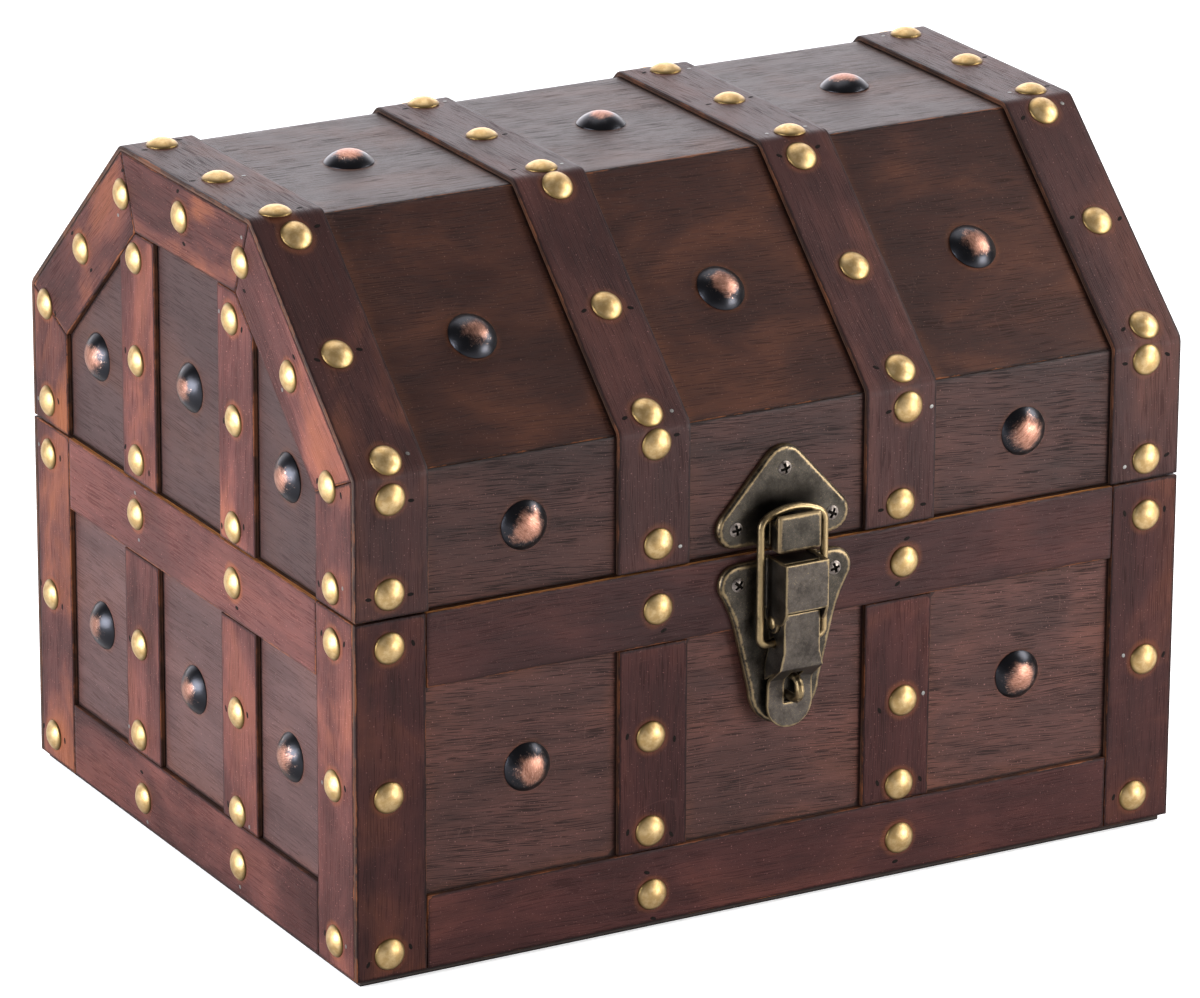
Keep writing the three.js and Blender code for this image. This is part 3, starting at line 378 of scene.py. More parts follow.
def fade(tree, value, low, high, start=0.0, end=1.0):
    return add_node(tree, "ShaderNodeMapRange", {"Value": value, "From Min": low, "From Max": high,
                                                 "To Min": start, "To Max": end},
                    interpolation_type="SMOOTHSTEP").outputs[0]


def cloud(tree, vector, scale, detail=2.0, roughness=0.5, distortion=0.0, turn=(0, 0, 0)):
    """Noise, which a scale of three numbers stretches."""
    if isinstance(scale, tuple):
        sockets = {"Vector": vector, "Scale": scale, "Rotation": turn}
        vector, scale = add_node(tree, "ShaderNodeMapping", sockets).outputs[0], 1.0
    return add_node(tree, "ShaderNodeTexNoise", {"Vector": vector, "Scale": scale, "Detail": detail,
                                                 "Roughness": roughness, "Distortion": distortion}).outputs[0]


def read_note(tree, label):
    made = add_node(tree, "ShaderNodeAttribute", attribute_type="GEOMETRY", attribute_name=label)
    return made.outputs["Vector" if label in ("grain", "tone", "head") else "Fac"]


def coat(tree, shader, colour, roughness, height, strength, distance=0.0001):
    """Gives a surface its colour, its roughness and its fine relief."""
    bump = add_node(tree, "ShaderNodeBump", {"Strength": strength, "Distance": distance, "Height": height})
    plug(tree, shader, {"Base Color": colour, "Roughness": roughness, "Normal": bump.outputs[0]})


# Mahogany figure: broad streaks, short dark pores that lie a little across the grain, fine fibres, the
# cloudy patches that the stain leaves, and specks of dust with a few faint scratches.
figure_group, takes, gives = start_group("mahogany_figure", {"Grain": None, "Slant": 0.08},
                                         ("Streak", "Pores", "Fibre", "Patch", "Flecks"))
tree, grain = figure_group, takes["Grain"]
waver = cloud(tree, grain, (12, 30, 14))
split = add_node(tree, "ShaderNodeSeparateXYZ", {0: grain}).outputs
drift = times(tree, waver, 0.006, times(tree, split[0], takes["Slant"], split[1]))
swept = add_node(tree, "ShaderNodeCombineXYZ", {0: split[0], 1: drift, 2: split[2]}).outputs[0]
crowd = cloud(tree, swept, (22, 90, 60))
pores = times(tree, crowd, 0.3, cloud(tree, swept, (75, 2500, 350), 1.5, 0.55))
dust = fade(tree, cloud(tree, grain, 1300.0, 1.0), 0.68, 0.76)
scratch = calc(tree, "SUBTRACT", cloud(tree, grain, (34, 26, 30), 1.0, 0.5, 0.4), 0.5)
scratch = fade(tree, calc(tree, "ABSOLUTE", scratch), 0.0035, 0.001)
scratch = times(tree, scratch, fade(tree, crowd, 0.52, 0.62))
plug(tree, gives, {
    "Streak": cloud(tree, swept, (7, 120, 60), 4.0, 0.6, 0.2),
    "Pores": fade(tree, pores, 0.69, 0.76),
    "Fibre": cloud(tree, swept, (80, 3200, 500), 3.0, 0.6),
    "Patch": cloud(tree, grain, (16, 24, 16), 5.0, 0.55, 0.6),
    "Flecks": calc(tree, "MAXIMUM", dust, times(tree, scratch, 0.15)),
})

# Wear: the arris where handling has rubbed the stain through to orange wood, with a ragged inner line,
# the orange ring that stays round a nail head, the dark line along every edge and seam, which is grime and
# painted shade, and the stain that runs from it.
wear_group, takes, gives = start_group(
    "rubbed_edges", {"Grain": None, "Edge": 1.0, "Halo": 1.0, "Seam": 1.0, "Amount": 0.5},
    ("Rub", "Ring", "GrimeAndShade", "Stain"))
tree, grain, widest_rub = wear_group, takes["Grain"], 0.0024
rough_line = cloud(tree, grain, (260, 700, 260), 4.0, 0.65)
long_line = cloud(tree, grain, (45, 45, 45))
bite = times(tree, long_line, 1.7, calc(tree, "SUBTRACT", rough_line, 1.18))
bite = times(tree, bite, times(tree, takes["Amount"], widest_rub))
ring = times(tree, rough_line, -0.002, times(tree, long_line, -0.004, takes["Halo"]))
# Darker along each edge and where a strip lies on a board: partly grime, partly painted shade.
grime_and_shade = times(tree, rough_line, -0.0016, calc(tree, "MINIMUM", takes["Edge"], takes["Seam"]))
plug(tree, gives, {
    "Rub": fade(tree, calc(tree, "SUBTRACT", bite, takes["Edge"]), 0.0, 0.0005),
    "Ring": fade(tree, ring, -0.0008, -0.0032),
    "GrimeAndShade": fade(tree, grime_and_shade, 0.0004, -0.0004),
    "Stain": fade(tree, times(tree, long_line, -0.014, takes["Seam"]), -0.002, -0.0085),
})


def stain_wood(name, dark, middle, light, rub_colour, side_colour, pore_depth=0.8, slant=0.05, cloudy=0.4,
               grime_and_shade_depth=0.6, shine=0.15, ring_depth=0.6):
    """A stained and waxed wood. Its three colours are the veneer's from dark to light, and its sides show
    the plies."""
    material, tree, shader = new_material(name)
    grain = read_note(tree, "grain")
    bright, orange, rub = add_node(tree, "ShaderNodeSeparateXYZ", {0: read_note(tree, "tone")}).outputs
    figure = add_node(tree, "ShaderNodeGroup", {"Grain": grain, "Slant": slant}, node_tree=figure_group).outputs
    wear = add_node(tree, "ShaderNodeGroup", {"Grain": grain, "Edge": read_note(tree, "edge"),
                                              "Halo": read_note(tree, "halo"), "Seam": read_note(tree, "seam"),
                                              "Amount": rub}, node_tree=wear_group).outputs
    black = tuple(c * 0.3 for c in dark)
    pale = tuple(c * 2.6 + 0.04 for c in light)
    clear = calc(tree, "SUBTRACT", 1.0, fade(tree, figure["Patch"], 0.32, 0.68))
    colour = mix_colours(tree, fade(tree, figure["Streak"], 0.3, 0.7), dark, middle)
    for mask, paint in (
            (fade(tree, figure["Fibre"], 0.35, 0.75, 0, 0.5), light),
            (times(tree, clear, cloudy), black),
            (times(tree, fade(tree, figure["Patch"], 0.46, 0.70), orange), rub_colour),
            (times(tree, wear["Stain"], 0.14), rub_colour),
            (times(tree, figure["Pores"], pore_depth), black),
            (times(tree, figure["Flecks"], 0.38), pale),
            (times(tree, times(tree, wear["Ring"], rub), ring_depth), rub_colour),
            # The dark edge and seam line, grime and painted shade.
            (times(tree, wear["GrimeAndShade"], grime_and_shade_depth), black),
            (times(tree, wear["Rub"], 0.6), rub_colour)):
        colour = mix_colours(tree, mask, colour, paint)
    depth = add_node(tree, "ShaderNodeSeparateXYZ", {0: grain}).outputs[2]
    ply_waves, face_depth, ease_depth = 5600.0, 0.0003, 0.0005
    plies = calc(tree, "SINE", times(tree, depth, ply_waves))
    plies = times(tree, cloud(tree, grain, (300, 300, 900), 3.0), 1.6, plies)
    side = mix_colours(tree, fade(tree, plies, 0.2, 1.6), tuple(c * 0.3 for c in side_colour), side_colour)
    side_rub = times(tree, wear["Rub"], fade(tree, depth, 0.0045, 0.003, 0.0, 0.25))
    side = mix_colours(tree, side_rub, side, rub_colour)
    colour = mix_colours(tree, fade(tree, depth, face_depth, ease_depth), colour, side)
    grey = add_node(tree, "ShaderNodeCombineXYZ", {0: bright, 1: bright, 2: bright}).outputs[0]
    colour = mix_colours(tree, 1.0, colour, grey, "MULTIPLY")
    roughness = times(tree, figure["Pores"], 0.2, times(tree, figure["Fibre"], 0.2, 0.32))
    roughness = times(tree, figure["Patch"], 0.12, roughness)
    height = times(tree, figure["Patch"], 1.5, times(tree, figure["Pores"], -0.8, figure["Fibre"]))
    coat(tree, shader, colour, roughness, height, 0.35, 0.0002)
    shader.inputs["Specular IOR Level"].default_value = shine
    return material


board_edge = (0.09, 0.045, 0.028)
panel_wood = stain_wood("mahogany_panel", (0.042, 0.0150, 0.0115), (0.090, 0.0335, 0.0260),
                        (0.132, 0.055, 0.044), (0.20, 0.062, 0.022), board_edge, slant=0.08, grime_and_shade_depth=0.85, shine=0.18)
# The end boards are lighter than the front's: painted light on the lit ends, with more orange of their own.
end_panel_wood = stain_wood("mahogany_end_panel", (0.074, 0.0330, 0.0295), (0.124, 0.062, 0.056),
                            (0.168, 0.090, 0.082), (0.20, 0.070, 0.030), board_edge, slant=0.03, pore_depth=0.3,
                            cloudy=0.3, grime_and_shade_depth=0.85, shine=0.2)
# The slope stain is darker than the panels': painted shade on the slopes, which face away from the lamps. The top
# shares it.
slope_stain_painted_shade = ((0.031, 0.0112, 0.0080), (0.042, 0.0152, 0.0105), (0.066, 0.0265, 0.0180), (0.24, 0.080, 0.028))
slope_wood, top_wood = (
    stain_wood(name, *slope_stain_painted_shade, board_edge, slant=0.04, pore_depth=pore_depth, cloudy=0.45, grime_and_shade_depth=0.85,
               shine=shine, ring_depth=0.2)
    for name, pore_depth, shine in (("mahogany_slope", 0.5, 0.13), ("mahogany_top", 0.6, 0.25)))


def lay_block(name, body, low, high, outward, along, thickness, material, finish, nails=(), **more):
    """A rectangular piece between two corners of the chest. Its nails are given in the chest's frame."""
    low, high, axis = Vector(low), Vector(high), Vector(outward)
    middle = (low + high) / 2
    reach = (high - low) / 2
    face = max(middle.dot(axis) - reach.dot(Vector(map(abs, axis))), 0)
    place = stand_frame(outward, along, middle - axis * (middle.dot(axis) - face))
    u = reach.dot(Vector(map(abs, along)))
    v = reach.dot(Vector(map(abs, place.col[1][:3])))
    local = [place.inverted() @ Vector(spot) for spot in nails]
    lay_wood(name, body, [(-u, -v), (u, -v), (u, v), (-u, v)], thickness, place, material, finish,
             nails=[(spot.x, spot.y) for spot in local], **more)


def under_strip(middle, width):
    """The stretch of a board that lies under an upright strip."""
    return np.array((middle - width / 2, -1)), np.array((middle + width / 2, 1))


def base_covers(strap, stile, up):
    """The rectangles of a face of the base that the strips cover, about the board's middle."""
    middle = (board_thickness + rim) / 2
    low_rail = up * (frame_foot + strip_width - middle)
    high_rail = up * (rim - strip_width - middle)
    found = [((-1, -1), (-stile, 1)), ((stile, -1), (1, 1)), ((-1, -1), (1, min(low_rail, high_rail))),
             ((-1, max(low_rail, high_rail)), (1, 1))]
    return ([under_strip(way * strap, strip_width) for way in (-1, 1)]
            + [(np.array(low), np.array(high)) for low, high in found])


long_panel, end_panel, panel_middle = 0.1004, 0.07495, 0.0675
for side, outward in (("front", -1), ("back", 1)):
    spots = (-long_panel, long_panel) if side == "front" else (-long_panel, 0, long_panel)
    ys = sorted((outward * half_depth, outward * (half_depth - board_thickness)))
    lay_block(f"base_{side}_board", "base", (-half_length, ys[0], board_thickness), (half_length, ys[1], rim),
              (0, outward, 0), (1, 0, 0), board_thickness, panel_wood, "panel_wood", kind="copper",
              nails=[(x, 0, panel_middle) for x in spots], tone=(1.0, 0.1, 0.3),
              covers=base_covers(long_strap, long_stile, -outward))
for side, outward in (("left", -1), ("right", 1)):
    xs = sorted((outward * half_length, outward * (half_length - board_thickness)))
    reach = half_depth - board_thickness
    lay_block(f"base_{side}_board", "base", (xs[0], -reach, board_thickness), (xs[1], reach, rim),
              (outward, 0, 0), (0, 1, 0), board_thickness, end_panel_wood, "panel_wood", kind="copper",
              nails=[(0, y, panel_middle) for y in (-end_panel, 0, end_panel)], tone=(1.0, 0.15, 0.6),
              covers=base_covers(end_strap, end_stile, outward))

lid_corners = [Vector(p) for p in ((-knee_reach, lid_foot), (-knee_reach, knee_height), (-crown_reach, crown_height),
                                   (crown_reach, crown_height), (knee_reach, knee_height), (knee_reach, lid_foot))]
runs = [(b - a).normalized() for a, b in zip(lid_corners, lid_corners[1:])]
spans = [(b - a).length for a, b in zip(lid_corners, lid_corners[1:])]
outs = [Vector((-run.y, run.x)) for run in runs]
lean = [0] + [math.tan(a.angle(b) / 2) for a, b in zip(runs, runs[1:])] + [0]
slope_share, lid_panel = 0.48, 0.1007
outer_band = 0.165 - band_width / 2
band_places = (-outer_band, -long_strap, long_strap, outer_band)
plank_names = ["front", "front_slope", "top", "back_slope", "back"]
plank_woods = [panel_wood, slope_wood, top_wood, slope_wood, panel_wood]
lid_depth = strip_thickness + board_thickness
for i, name in enumerate(plank_names):
    upright = i in (0, 4)
    place = stand_frame((0, *outs[i]), (1, 0, 0), (0, *(lid_corners[i] - outs[i] * lid_depth)))
    low, high = lean[i] * strip_thickness, spans[i] - lean[i + 1] * strip_thickness
    mitres = [((0, at, board_thickness), (0, way, -slant))
              for at, way, slant in ((low, -1, lean[i]), (high, 1, lean[i + 1])) if slant]
    height = spans[i] * {1: slope_share, 3: 1 - slope_share}.get(i, 0.5)
    spots = (-lid_panel, lid_panel) if i == 0 else (-lid_panel, 0, lid_panel)
    outline = [(-half_length, low), (half_length, low), (half_length, high), (-half_length, high)]
    # The upright boards of the lid are darkened by their tone, as painted shade.
    lay_wood(f"lid_{name}_board", "lid", outline, board_thickness, place, plank_woods[i], "panel_wood",
             nails=[(x, height) for x in spots], kind="copper", mitres=mitres,
             covers=[under_strip(at, band_width) for at in band_places],
             tone=(0.7, 0.05, 0.3) if upright else (1, 0.14, 0.95))


def inset_corner(i, inset):
    """The corner number i of the lid's outline, a distance inside the face of the bands."""
    if i in (0, 5):
        return lid_corners[i] + Vector((inset if i == 0 else -inset, 0))
    return lid_corners[i] - (outs[i - 1] + outs[i]) * (inset / (1 + outs[i - 1].dot(outs[i])))


def lid_height(across, inset):
    """Height of the lid's outline, a distance inside the face of the bands, at a distance from its middle."""
    knee, crown = inset_corner(1, inset), inset_corner(2, inset)
    return np.interp(-np.abs(across), [knee.x, crown.x], [knee.y, crown.y])


side_nail, middle_nail, border_cover = 0.1695, 0.1798, 0.019
for side, outward in (("left", -1), ("right", 1)):
    place = stand_frame((outward, 0, 0), (0, outward, 0), (outward * (half_length - board_thickness), 0, 0))
    turn = place.inverted()
    outline = [tuple((turn @ Vector((0, *inset_corner(i, lid_depth))))[:2]) for i in range(6)]
    spots = [(-end_panel, side_nail), (0, middle_nail), (end_panel, side_nail)]
    lay_wood(f"lid_{side}_board", "lid", outline, board_thickness, place, end_panel_wood, "panel_wood",
             nails=[tuple((turn @ Vector((0, y, z)))[:2]) for y, z in spots], kind="copper", tone=(1.0, 0.15, 0.6),
             trim=(1, lambda across: (lid_foot, lid_height(across, lid_depth))), rim_cover=border_cover,
             covers=[under_strip(way * end_strap, strip_width) for way in (-1, 1)])


# Bottom board. One sheet of dark plywood nailed up under the four sides, just shy of the frame, so that
# it shows as a grey line under the strips.
bottom_wood = stain_wood("bottom_plywood", (0.020, 0.015, 0.014), (0.045, 0.034, 0.030), (0.075, 0.058, 0.050),
                         (0.08, 0.055, 0.045), (0.05, 0.038, 0.033), pore_depth=0.3)
lay_block("base_bottom_board", "base", (-half_length, -half_depth, 0), (half_length, half_depth, board_thickness),
          (0, 0, 1), (1, 0, 0), board_thickness, bottom_wood, "bottom_wood", pitch=(0.006, 0.006))


# Strips of the base. On each face two stiles, two rails and two straps of stained thin ply, glued flat on
# the boards and fixed with brads and brass dome nails. The ends of the rails butt against the stiles.
strip_stain = ((0.036, 0.0112, 0.0102), (0.064, 0.0192, 0.0170), (0.088, 0.030, 0.026), (0.23, 0.072, 0.024))
band_stain = ((0.038, 0.0140, 0.0125), (0.066, 0.0238, 0.0205), (0.092, 0.036, 0.031), (0.23, 0.078, 0.030))
# The end stain is lighter than the front's: painted light on the lit ends, with more orange rub of their own.
end_stain_painted_light = ((0.078, 0.0235, 0.0200), (0.138, 0.0450, 0.0380), (0.190, 0.074, 0.062), (0.27, 0.085, 0.031))
# The sides of the top rails, with their ledge under the lid, are a bright orange: partly the raw wood's own colour,
# partly painted light.
strip_edge, ledge_orange_painted_light = (0.065, 0.033, 0.022), (0.80, 0.33, 0.10)
strip_wood, end_wood, band_wood, rail_wood, end_rail_wood = (
    stain_wood(name, *stain, edge, slant=0.02, pore_depth=pore_depth, cloudy=cloudy, grime_and_shade_depth=grime_and_shade_depth, shine=shine)
    for name, stain, edge, pore_depth, cloudy, grime_and_shade_depth, shine in (
        ("stained_strip", strip_stain, strip_edge, 0.4, 0.5, 0.85, 0.12),
        ("rubbed_strip_painted_light", end_stain_painted_light, strip_edge, 0.3, 0.8, 0.9, 0.12),
        ("stained_band", band_stain, strip_edge, 0.4, 0.5, 0.85, 0.15),
        ("stained_rail", strip_stain, ledge_orange_painted_light, 0.4, 0.5, 0.5, 0.15),
        ("rubbed_rail_painted_light", end_stain_painted_light, ledge_orange_painted_light, 0.3, 0.5, 0.5, 0.15)))
strip_pitch = (0.002, 0.0018)
stile_nails, strap_nails = (0.122, 0.0675, 0.013), (0.0705, 0.037)


def lay_strip(node, outward, along, face, nails, tone):
    """A strip whose outline is its node's and whose back lies on the board's face."""
    low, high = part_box(node)
    axis = Vector(outward)
    side = [i for i in range(3) if outward[i]][0]
    low[side], high[side] = sorted((axis[side] * face, axis[side] * (face + strip_thickness)))
    middle = (high + low) / 2
    woods = (end_rail_wood, rail_wood) if "top_rail" in node else (end_wood, strip_wood)
    lay_block(node, "base", low, high, outward, along, strip_thickness, woods[min(side, 1)], "strip_wood",
              nails=[spot(middle) for spot in nails], tone=tone, pitch=strip_pitch, ease=0.0003)


def at_height(z):
    return lambda middle: (middle.x, middle.y, z)


def at_distance(line, distance):
    return lambda middle: tuple(distance if line[i] else middle[i] for i in range(3))


def draw_tone(*limits):
    """Draws how light, how orange and how rubbed a piece is, each between two limits."""
    return tuple(random.uniform(low, high) for low, high in limits)


for face, outward, line, strap, distance, ends in (
        ("front", (0, -1, 0), (1, 0, 0), long_strap, half_depth, ("left", "right")),
        ("back", (0, 1, 0), (1, 0, 0), long_strap, half_depth, ("left", "right")),
        ("left", (-1, 0, 0), (0, 1, 0), end_strap, half_length, ("front", "back")),
        ("right", (1, 0, 0), (0, 1, 0), end_strap, half_length, ("front", "back"))):
    for end in ends:
        lay_strip(f"{face}_{end}_stile", outward, (0, 0, 1), distance, [at_height(z) for z in stile_nails],
                  draw_tone((0.9, 1.1), (0.0, 0.15), (0.2, 0.6)))
        lay_strip(f"{face}_{end}_strap", outward, (0, 0, 1), distance, [at_height(z) for z in strap_nails],
                  draw_tone((0.95, 1.15), (0.0, 0.12), (0.2, 0.5)))
    for rail in ("top", "bottom"):
        under_hinges = face == "back" and rail == "top"
        nails = [] if under_hinges else [at_distance(line, -strap), at_distance(line, strap)]
        lay_strip(f"{face}_{rail}_rail", outward, line, distance, nails,
                  draw_tone((0.9, 1.05), (0.0, 0.12), (0.2, 0.6)))


# Bands of the lid. Four strips 28 mm wide, kerfed behind and bent over the whole lid from the front edge
# to the back edge. Each is sawn flat and then bent round the five faces.
bend_radius, band_pitch = 0.005, (0.0012, 0.0021)
wall_nail_low, wall_nail_high = 0.0086, 0.0072
slope_nail_low, slope_nail_high = 0.0066, 0.0079
band_top_inset, border_top_inset = 0.00575, 0.00425
tangents = [0] + [bend_radius * slope for slope in lean[1:5]] + [0]
straights = [spans[i] - tangents[i] - tangents[i + 1] for i in range(5)]
starts = [0.0]
for i in range(4):
    starts.append(starts[i] + straights[i] + bend_radius * runs[i].angle(runs[i + 1]))
path_length = starts[4] + straights[4]


def over_lid(distance):
    """Point and outward direction, in (y, z), at a distance along the face of a band."""
    i = max(k for k in range(5) if distance >= starts[k] - 1e-9)
    along = distance - starts[i]
    if along <= straights[i] or i == 4:
        return lid_corners[i] + runs[i] * (tangents[i] + along), outs[i]
    angle = math.atan2(outs[i].y, outs[i].x) - (along - straights[i]) / bend_radius
    out = Vector((math.cos(angle), math.sin(angle)))
    centre = lid_corners[i + 1] - (outs[i] + outs[i + 1]) * (bend_radius / (1 + outs[i].dot(outs[i + 1])))
    return centre + out * bend_radius, out


def nail_rows(top_inset):
    """Where the nails stand on each of the five faces, from its lower front corner."""
    wall, slope, flat = spans[:3]
    return [
        [wall_nail_low, wall - wall_nail_high],
        [slope_nail_low, slope_share * slope, slope - slope_nail_high],
        [top_inset, flat / 2, flat - top_inset],
        [slope_nail_high, slope - slope_share * slope, slope - slope_nail_low],
        [wall_nail_high, wall - wall_nail_low],
    ]


for name, centre in zip(("outer_left", "inner_left", "inner_right", "outer_right"), band_places):
    name = f"lid_band_{name}"
    outline = [(0, -band_width / 2), (path_length, -band_width / 2), (path_length, band_width / 2),
               (0, band_width / 2)]
    distances = [starts[i] + d - tangents[i] for i, row in enumerate(nail_rows(band_top_inset)) for d in row]
    if "inner" in name:
        distances = distances[:-1]
    nails = drifted(name, [(distance, 0) for distance in distances])
    piece = saw_wood("wood_" + name, outline, strip_thickness, band_pitch, ease=0.00045, bends=True)
    note_wood(piece, outline, strip_thickness, nails, brass_radius, in_view[name][0])
    points = read_points(piece)
    for index, (along, across, rise) in enumerate(points):
        at, out = over_lid(min(max(along, 0), path_length))
        points[index] = (centre + across, *(at - out * (strip_thickness - rise)))
    piece.data.vertices.foreach_set("co", points.ravel())
    bpy.context.view_layer.update()
    for along, across in nails:
        at, out = over_lid(along)
        nail_spots.append((name, "lid", "brass", stand_frame((0, *out), (1, 0, 0), (centre + across, *at))))
    settle_wood(piece, "lid", band_wood, "strip_wood", name)


# Borders and straps of the lid's ends. Five strips mitred at the bends run round each end, and two upright
# straps stand inside them, cut to the slope.
outer, inner = strip_thickness, strip_thickness + strip_width
border_middle, flank_nail, crown_nail = (outer + inner) / 2, 0.0127, 0.0172
mitre_gap, strap_gap, lid_strap_nails = 0.00012, 0.0003, (0.1418, 0.18005, 0.2183)
for side, outward in (("left", -1), ("right", 1)):
    for i, name in enumerate(plank_names):
        place = stand_frame((outward, 0, 0), (0, *runs[i]), (outward * half_length, *lid_corners[i]))
        way, first, last = -outward, lean[i], lean[i + 1]
        outline = [(depth * first + mitre_gap, way * depth) for depth in (outer, inner)]
        outline[1:1] = [(spans[i] - depth * last - mitre_gap, way * depth) for depth in (outer, inner)]
        trim = (0, lambda across: (np.abs(across) * first + mitre_gap, spans[i] - np.abs(across) * last - mitre_gap))
        along = nail_rows(border_top_inset)[i]
        if "slope" in name:
            along = along[1:2]
        depths = {2: [crown_nail, border_middle, crown_nail], 1: [flank_nail], 3: [flank_nail]}.get(
            i, [border_middle] * 2)
        brightness = random.uniform(0.75, 1.05)
        orange = 0.75 if name == "back" else random.uniform(0.1, 0.35)
        lay_wood(f"lid_{side}_border_{name}", "lid", outline, strip_thickness, place, end_wood, "strip_wood",
                 nails=[(d, way * depth) for d, depth in zip(along, depths)],
                 tone=(brightness, orange, random.uniform(0.4, 0.9)), pitch=strip_pitch, ease=0.0004, trim=trim,
                 node=f"lid_{side}_border")
    for end, way in (("front", -1), ("back", 1)):
        place = stand_frame((outward, 0, 0), (0, 0, 1), (outward * half_length, 0, 0))
        gap = inner + strap_gap
        middle = way * -outward * end_strap
        sides = (middle - strip_width / 2, middle + strip_width / 2)
        tops = [float(lid_height(across, gap)) for across in sides]
        crown = (max(tops), math.copysign(inset_corner(2, gap).x, middle))
        outline = [(lid_foot, sides[0]), (lid_foot, sides[1]), (tops[1], sides[1]), crown, (tops[0], sides[0])]
        lay_wood(f"lid_{side}_{end}_strap", "lid", outline, strip_thickness, place, end_wood, "strip_wood",
                 nails=[(z, middle) for z in lid_strap_nails],
                 tone=draw_tone((0.85, 1.05), (0.0, 0.3), (0.4, 0.9)), pitch=strip_pitch, ease=0.00045,
                 trim=(0, lambda across: (lid_foot, lid_height(across, gap))))


# Brass dome nails. A stamped 12 mm head with a rolled rim on a steel shank, driven through the strips.
# One is cut from a ball as a cap, and the rest are copies.
rolled_rim, shank_radius, shank_length, full_turn = 0.00025, 0.0009, 0.0012, 6.28


def press_dome(name, radius, height, around, rings):
    """A domed head on its shank, with the foot of its rim at 0."""
    bpy.ops.object.select_all(action="DESELECT")
    rise = height - rolled_rim
    ball = (radius ** 2 + rise ** 2) / (2 * rise)
    bpy.ops.mesh.primitive_uv_sphere_add(segments=around, ring_count=rings, radius=ball,
                                         location=(0, 0, height - ball))
    head = bpy.context.object
    head.name = name
    bpy.ops.object.transform_apply(location=True, rotation=True, scale=True)
    open_mesh()
    bpy.ops.mesh.bisect(plane_co=(0, 0, rolled_rim), plane_no=(0, 0, -1), use_fill=True, clear_outer=True)
    bpy.ops.mesh.select_mode(type="FACE")
    bpy.ops.mesh.select_all(action="DESELECT")
    close_mesh()
    for face in head.data.polygons:
        face.select = face.normal.z < -0.9
    bpy.ops.object.mode_set(mode="EDIT")
    bpy.ops.mesh.extrude_region_move(TRANSFORM_OT_translate={"value": (0, 0, -rolled_rim)})
    bpy.ops.mesh.inset(thickness=radius - shank_radius, depth=0)
    bpy.ops.mesh.extrude_region_move(TRANSFORM_OT_translate={"value": (0, 0, -shank_length)})
    close_mesh()
    bpy.ops.object.shade_smooth_by_angle(angle=math.radians(50))
    return head


def copy_piece(name, master, change=Matrix()):
    """A copy of a piece with a mesh of its own, moved by a matrix."""
    one = bpy.data.objects.new(name, master.data.copy())
    studio.collection.objects.link(one)
    one.data.transform(change)
    return one


def join_copies(name, copies, *fittings):
    """Joins copies into one piece and fits it out."""
    pick(*copies)
    if len(copies) > 1:
        bpy.ops.object.join()
    copies[0].name = copies[0].data.name = name
    fit_out(copies[0], *fittings)


def drive_nails(kind, radius, height, around, rings, material):
    """Copies a head to every spot of its kind and joins the nails of one carrier into one piece."""
    master = press_dome(kind + "_head", radius, height, around, rings)
    carriers = {}
    for carrier, body, nail_kind, place in nail_spots:
        if nail_kind == kind:
            carriers.setdefault((carrier, body), []).append(place)
    for (carrier, body), places in carriers.items():
        copies = []
        for place in places:
            points = read_points(master) / radius
            points[:, 2] = random.uniform(0, 50)
            bare = 1.0 if "front_board" in carrier else random.uniform(0.62, 0.92)
            tilt = Matrix.Rotation(math.radians(random.uniform(-1.5, 1.5)), 4, "X")
            turn = Matrix.Rotation(random.uniform(0, full_turn), 4, "Z")
            nail = copy_piece("nail", master, place @ turn @ tilt)
            write_note(nail, "head", points)
            write_note(nail, "bare", np.full(len(points), bare))
            copies.append(nail)
        join_copies(f"{kind}_nails_{carrier}", copies, body, material, kind + "_nail")
    bpy.data.objects.remove(master)


def read_head(tree):
    """Where a point lies on its nail's head, and how far from the middle as a share of the radius."""
    head = read_note(tree, "head")
    x, y, _ = add_node(tree, "ShaderNodeSeparateXYZ", {0: head}).outputs
    return head, calc(tree, "SQRT", times(tree, x, x, times(tree, y, y)))


brass, tree, shader = new_material("aged_brass", 1.0)
head, radius = read_head(tree)
mottle = cloud(tree, head, 2.6, 4.0, 0.6)
specks = cloud(tree, head, 14.0, 3.0, 0.7)
colour = mix_colours(tree, fade(tree, mottle, 0.35, 0.7), (0.44, 0.29, 0.12), (0.58, 0.42, 0.21))
colour = mix_colours(tree, fade(tree, specks, 0.62, 0.76, 0, 0.5), colour, (0.20, 0.12, 0.05))
# The dark ring round the rim of each head is a painted reflection of the dark wood beside it.
colour = mix_colours(tree, fade(tree, times(tree, mottle, 0.12, radius), 0.82, 1.04, 0, 0.85), colour,
                     (0.12, 0.075, 0.025))
coat(tree, shader, colour, fade(tree, specks, 0.3, 0.7, 0.40, 0.54), specks, 0.25)
drive_nails("brass", brass_radius, height=0.0027, around=32, rings=44, material=brass)


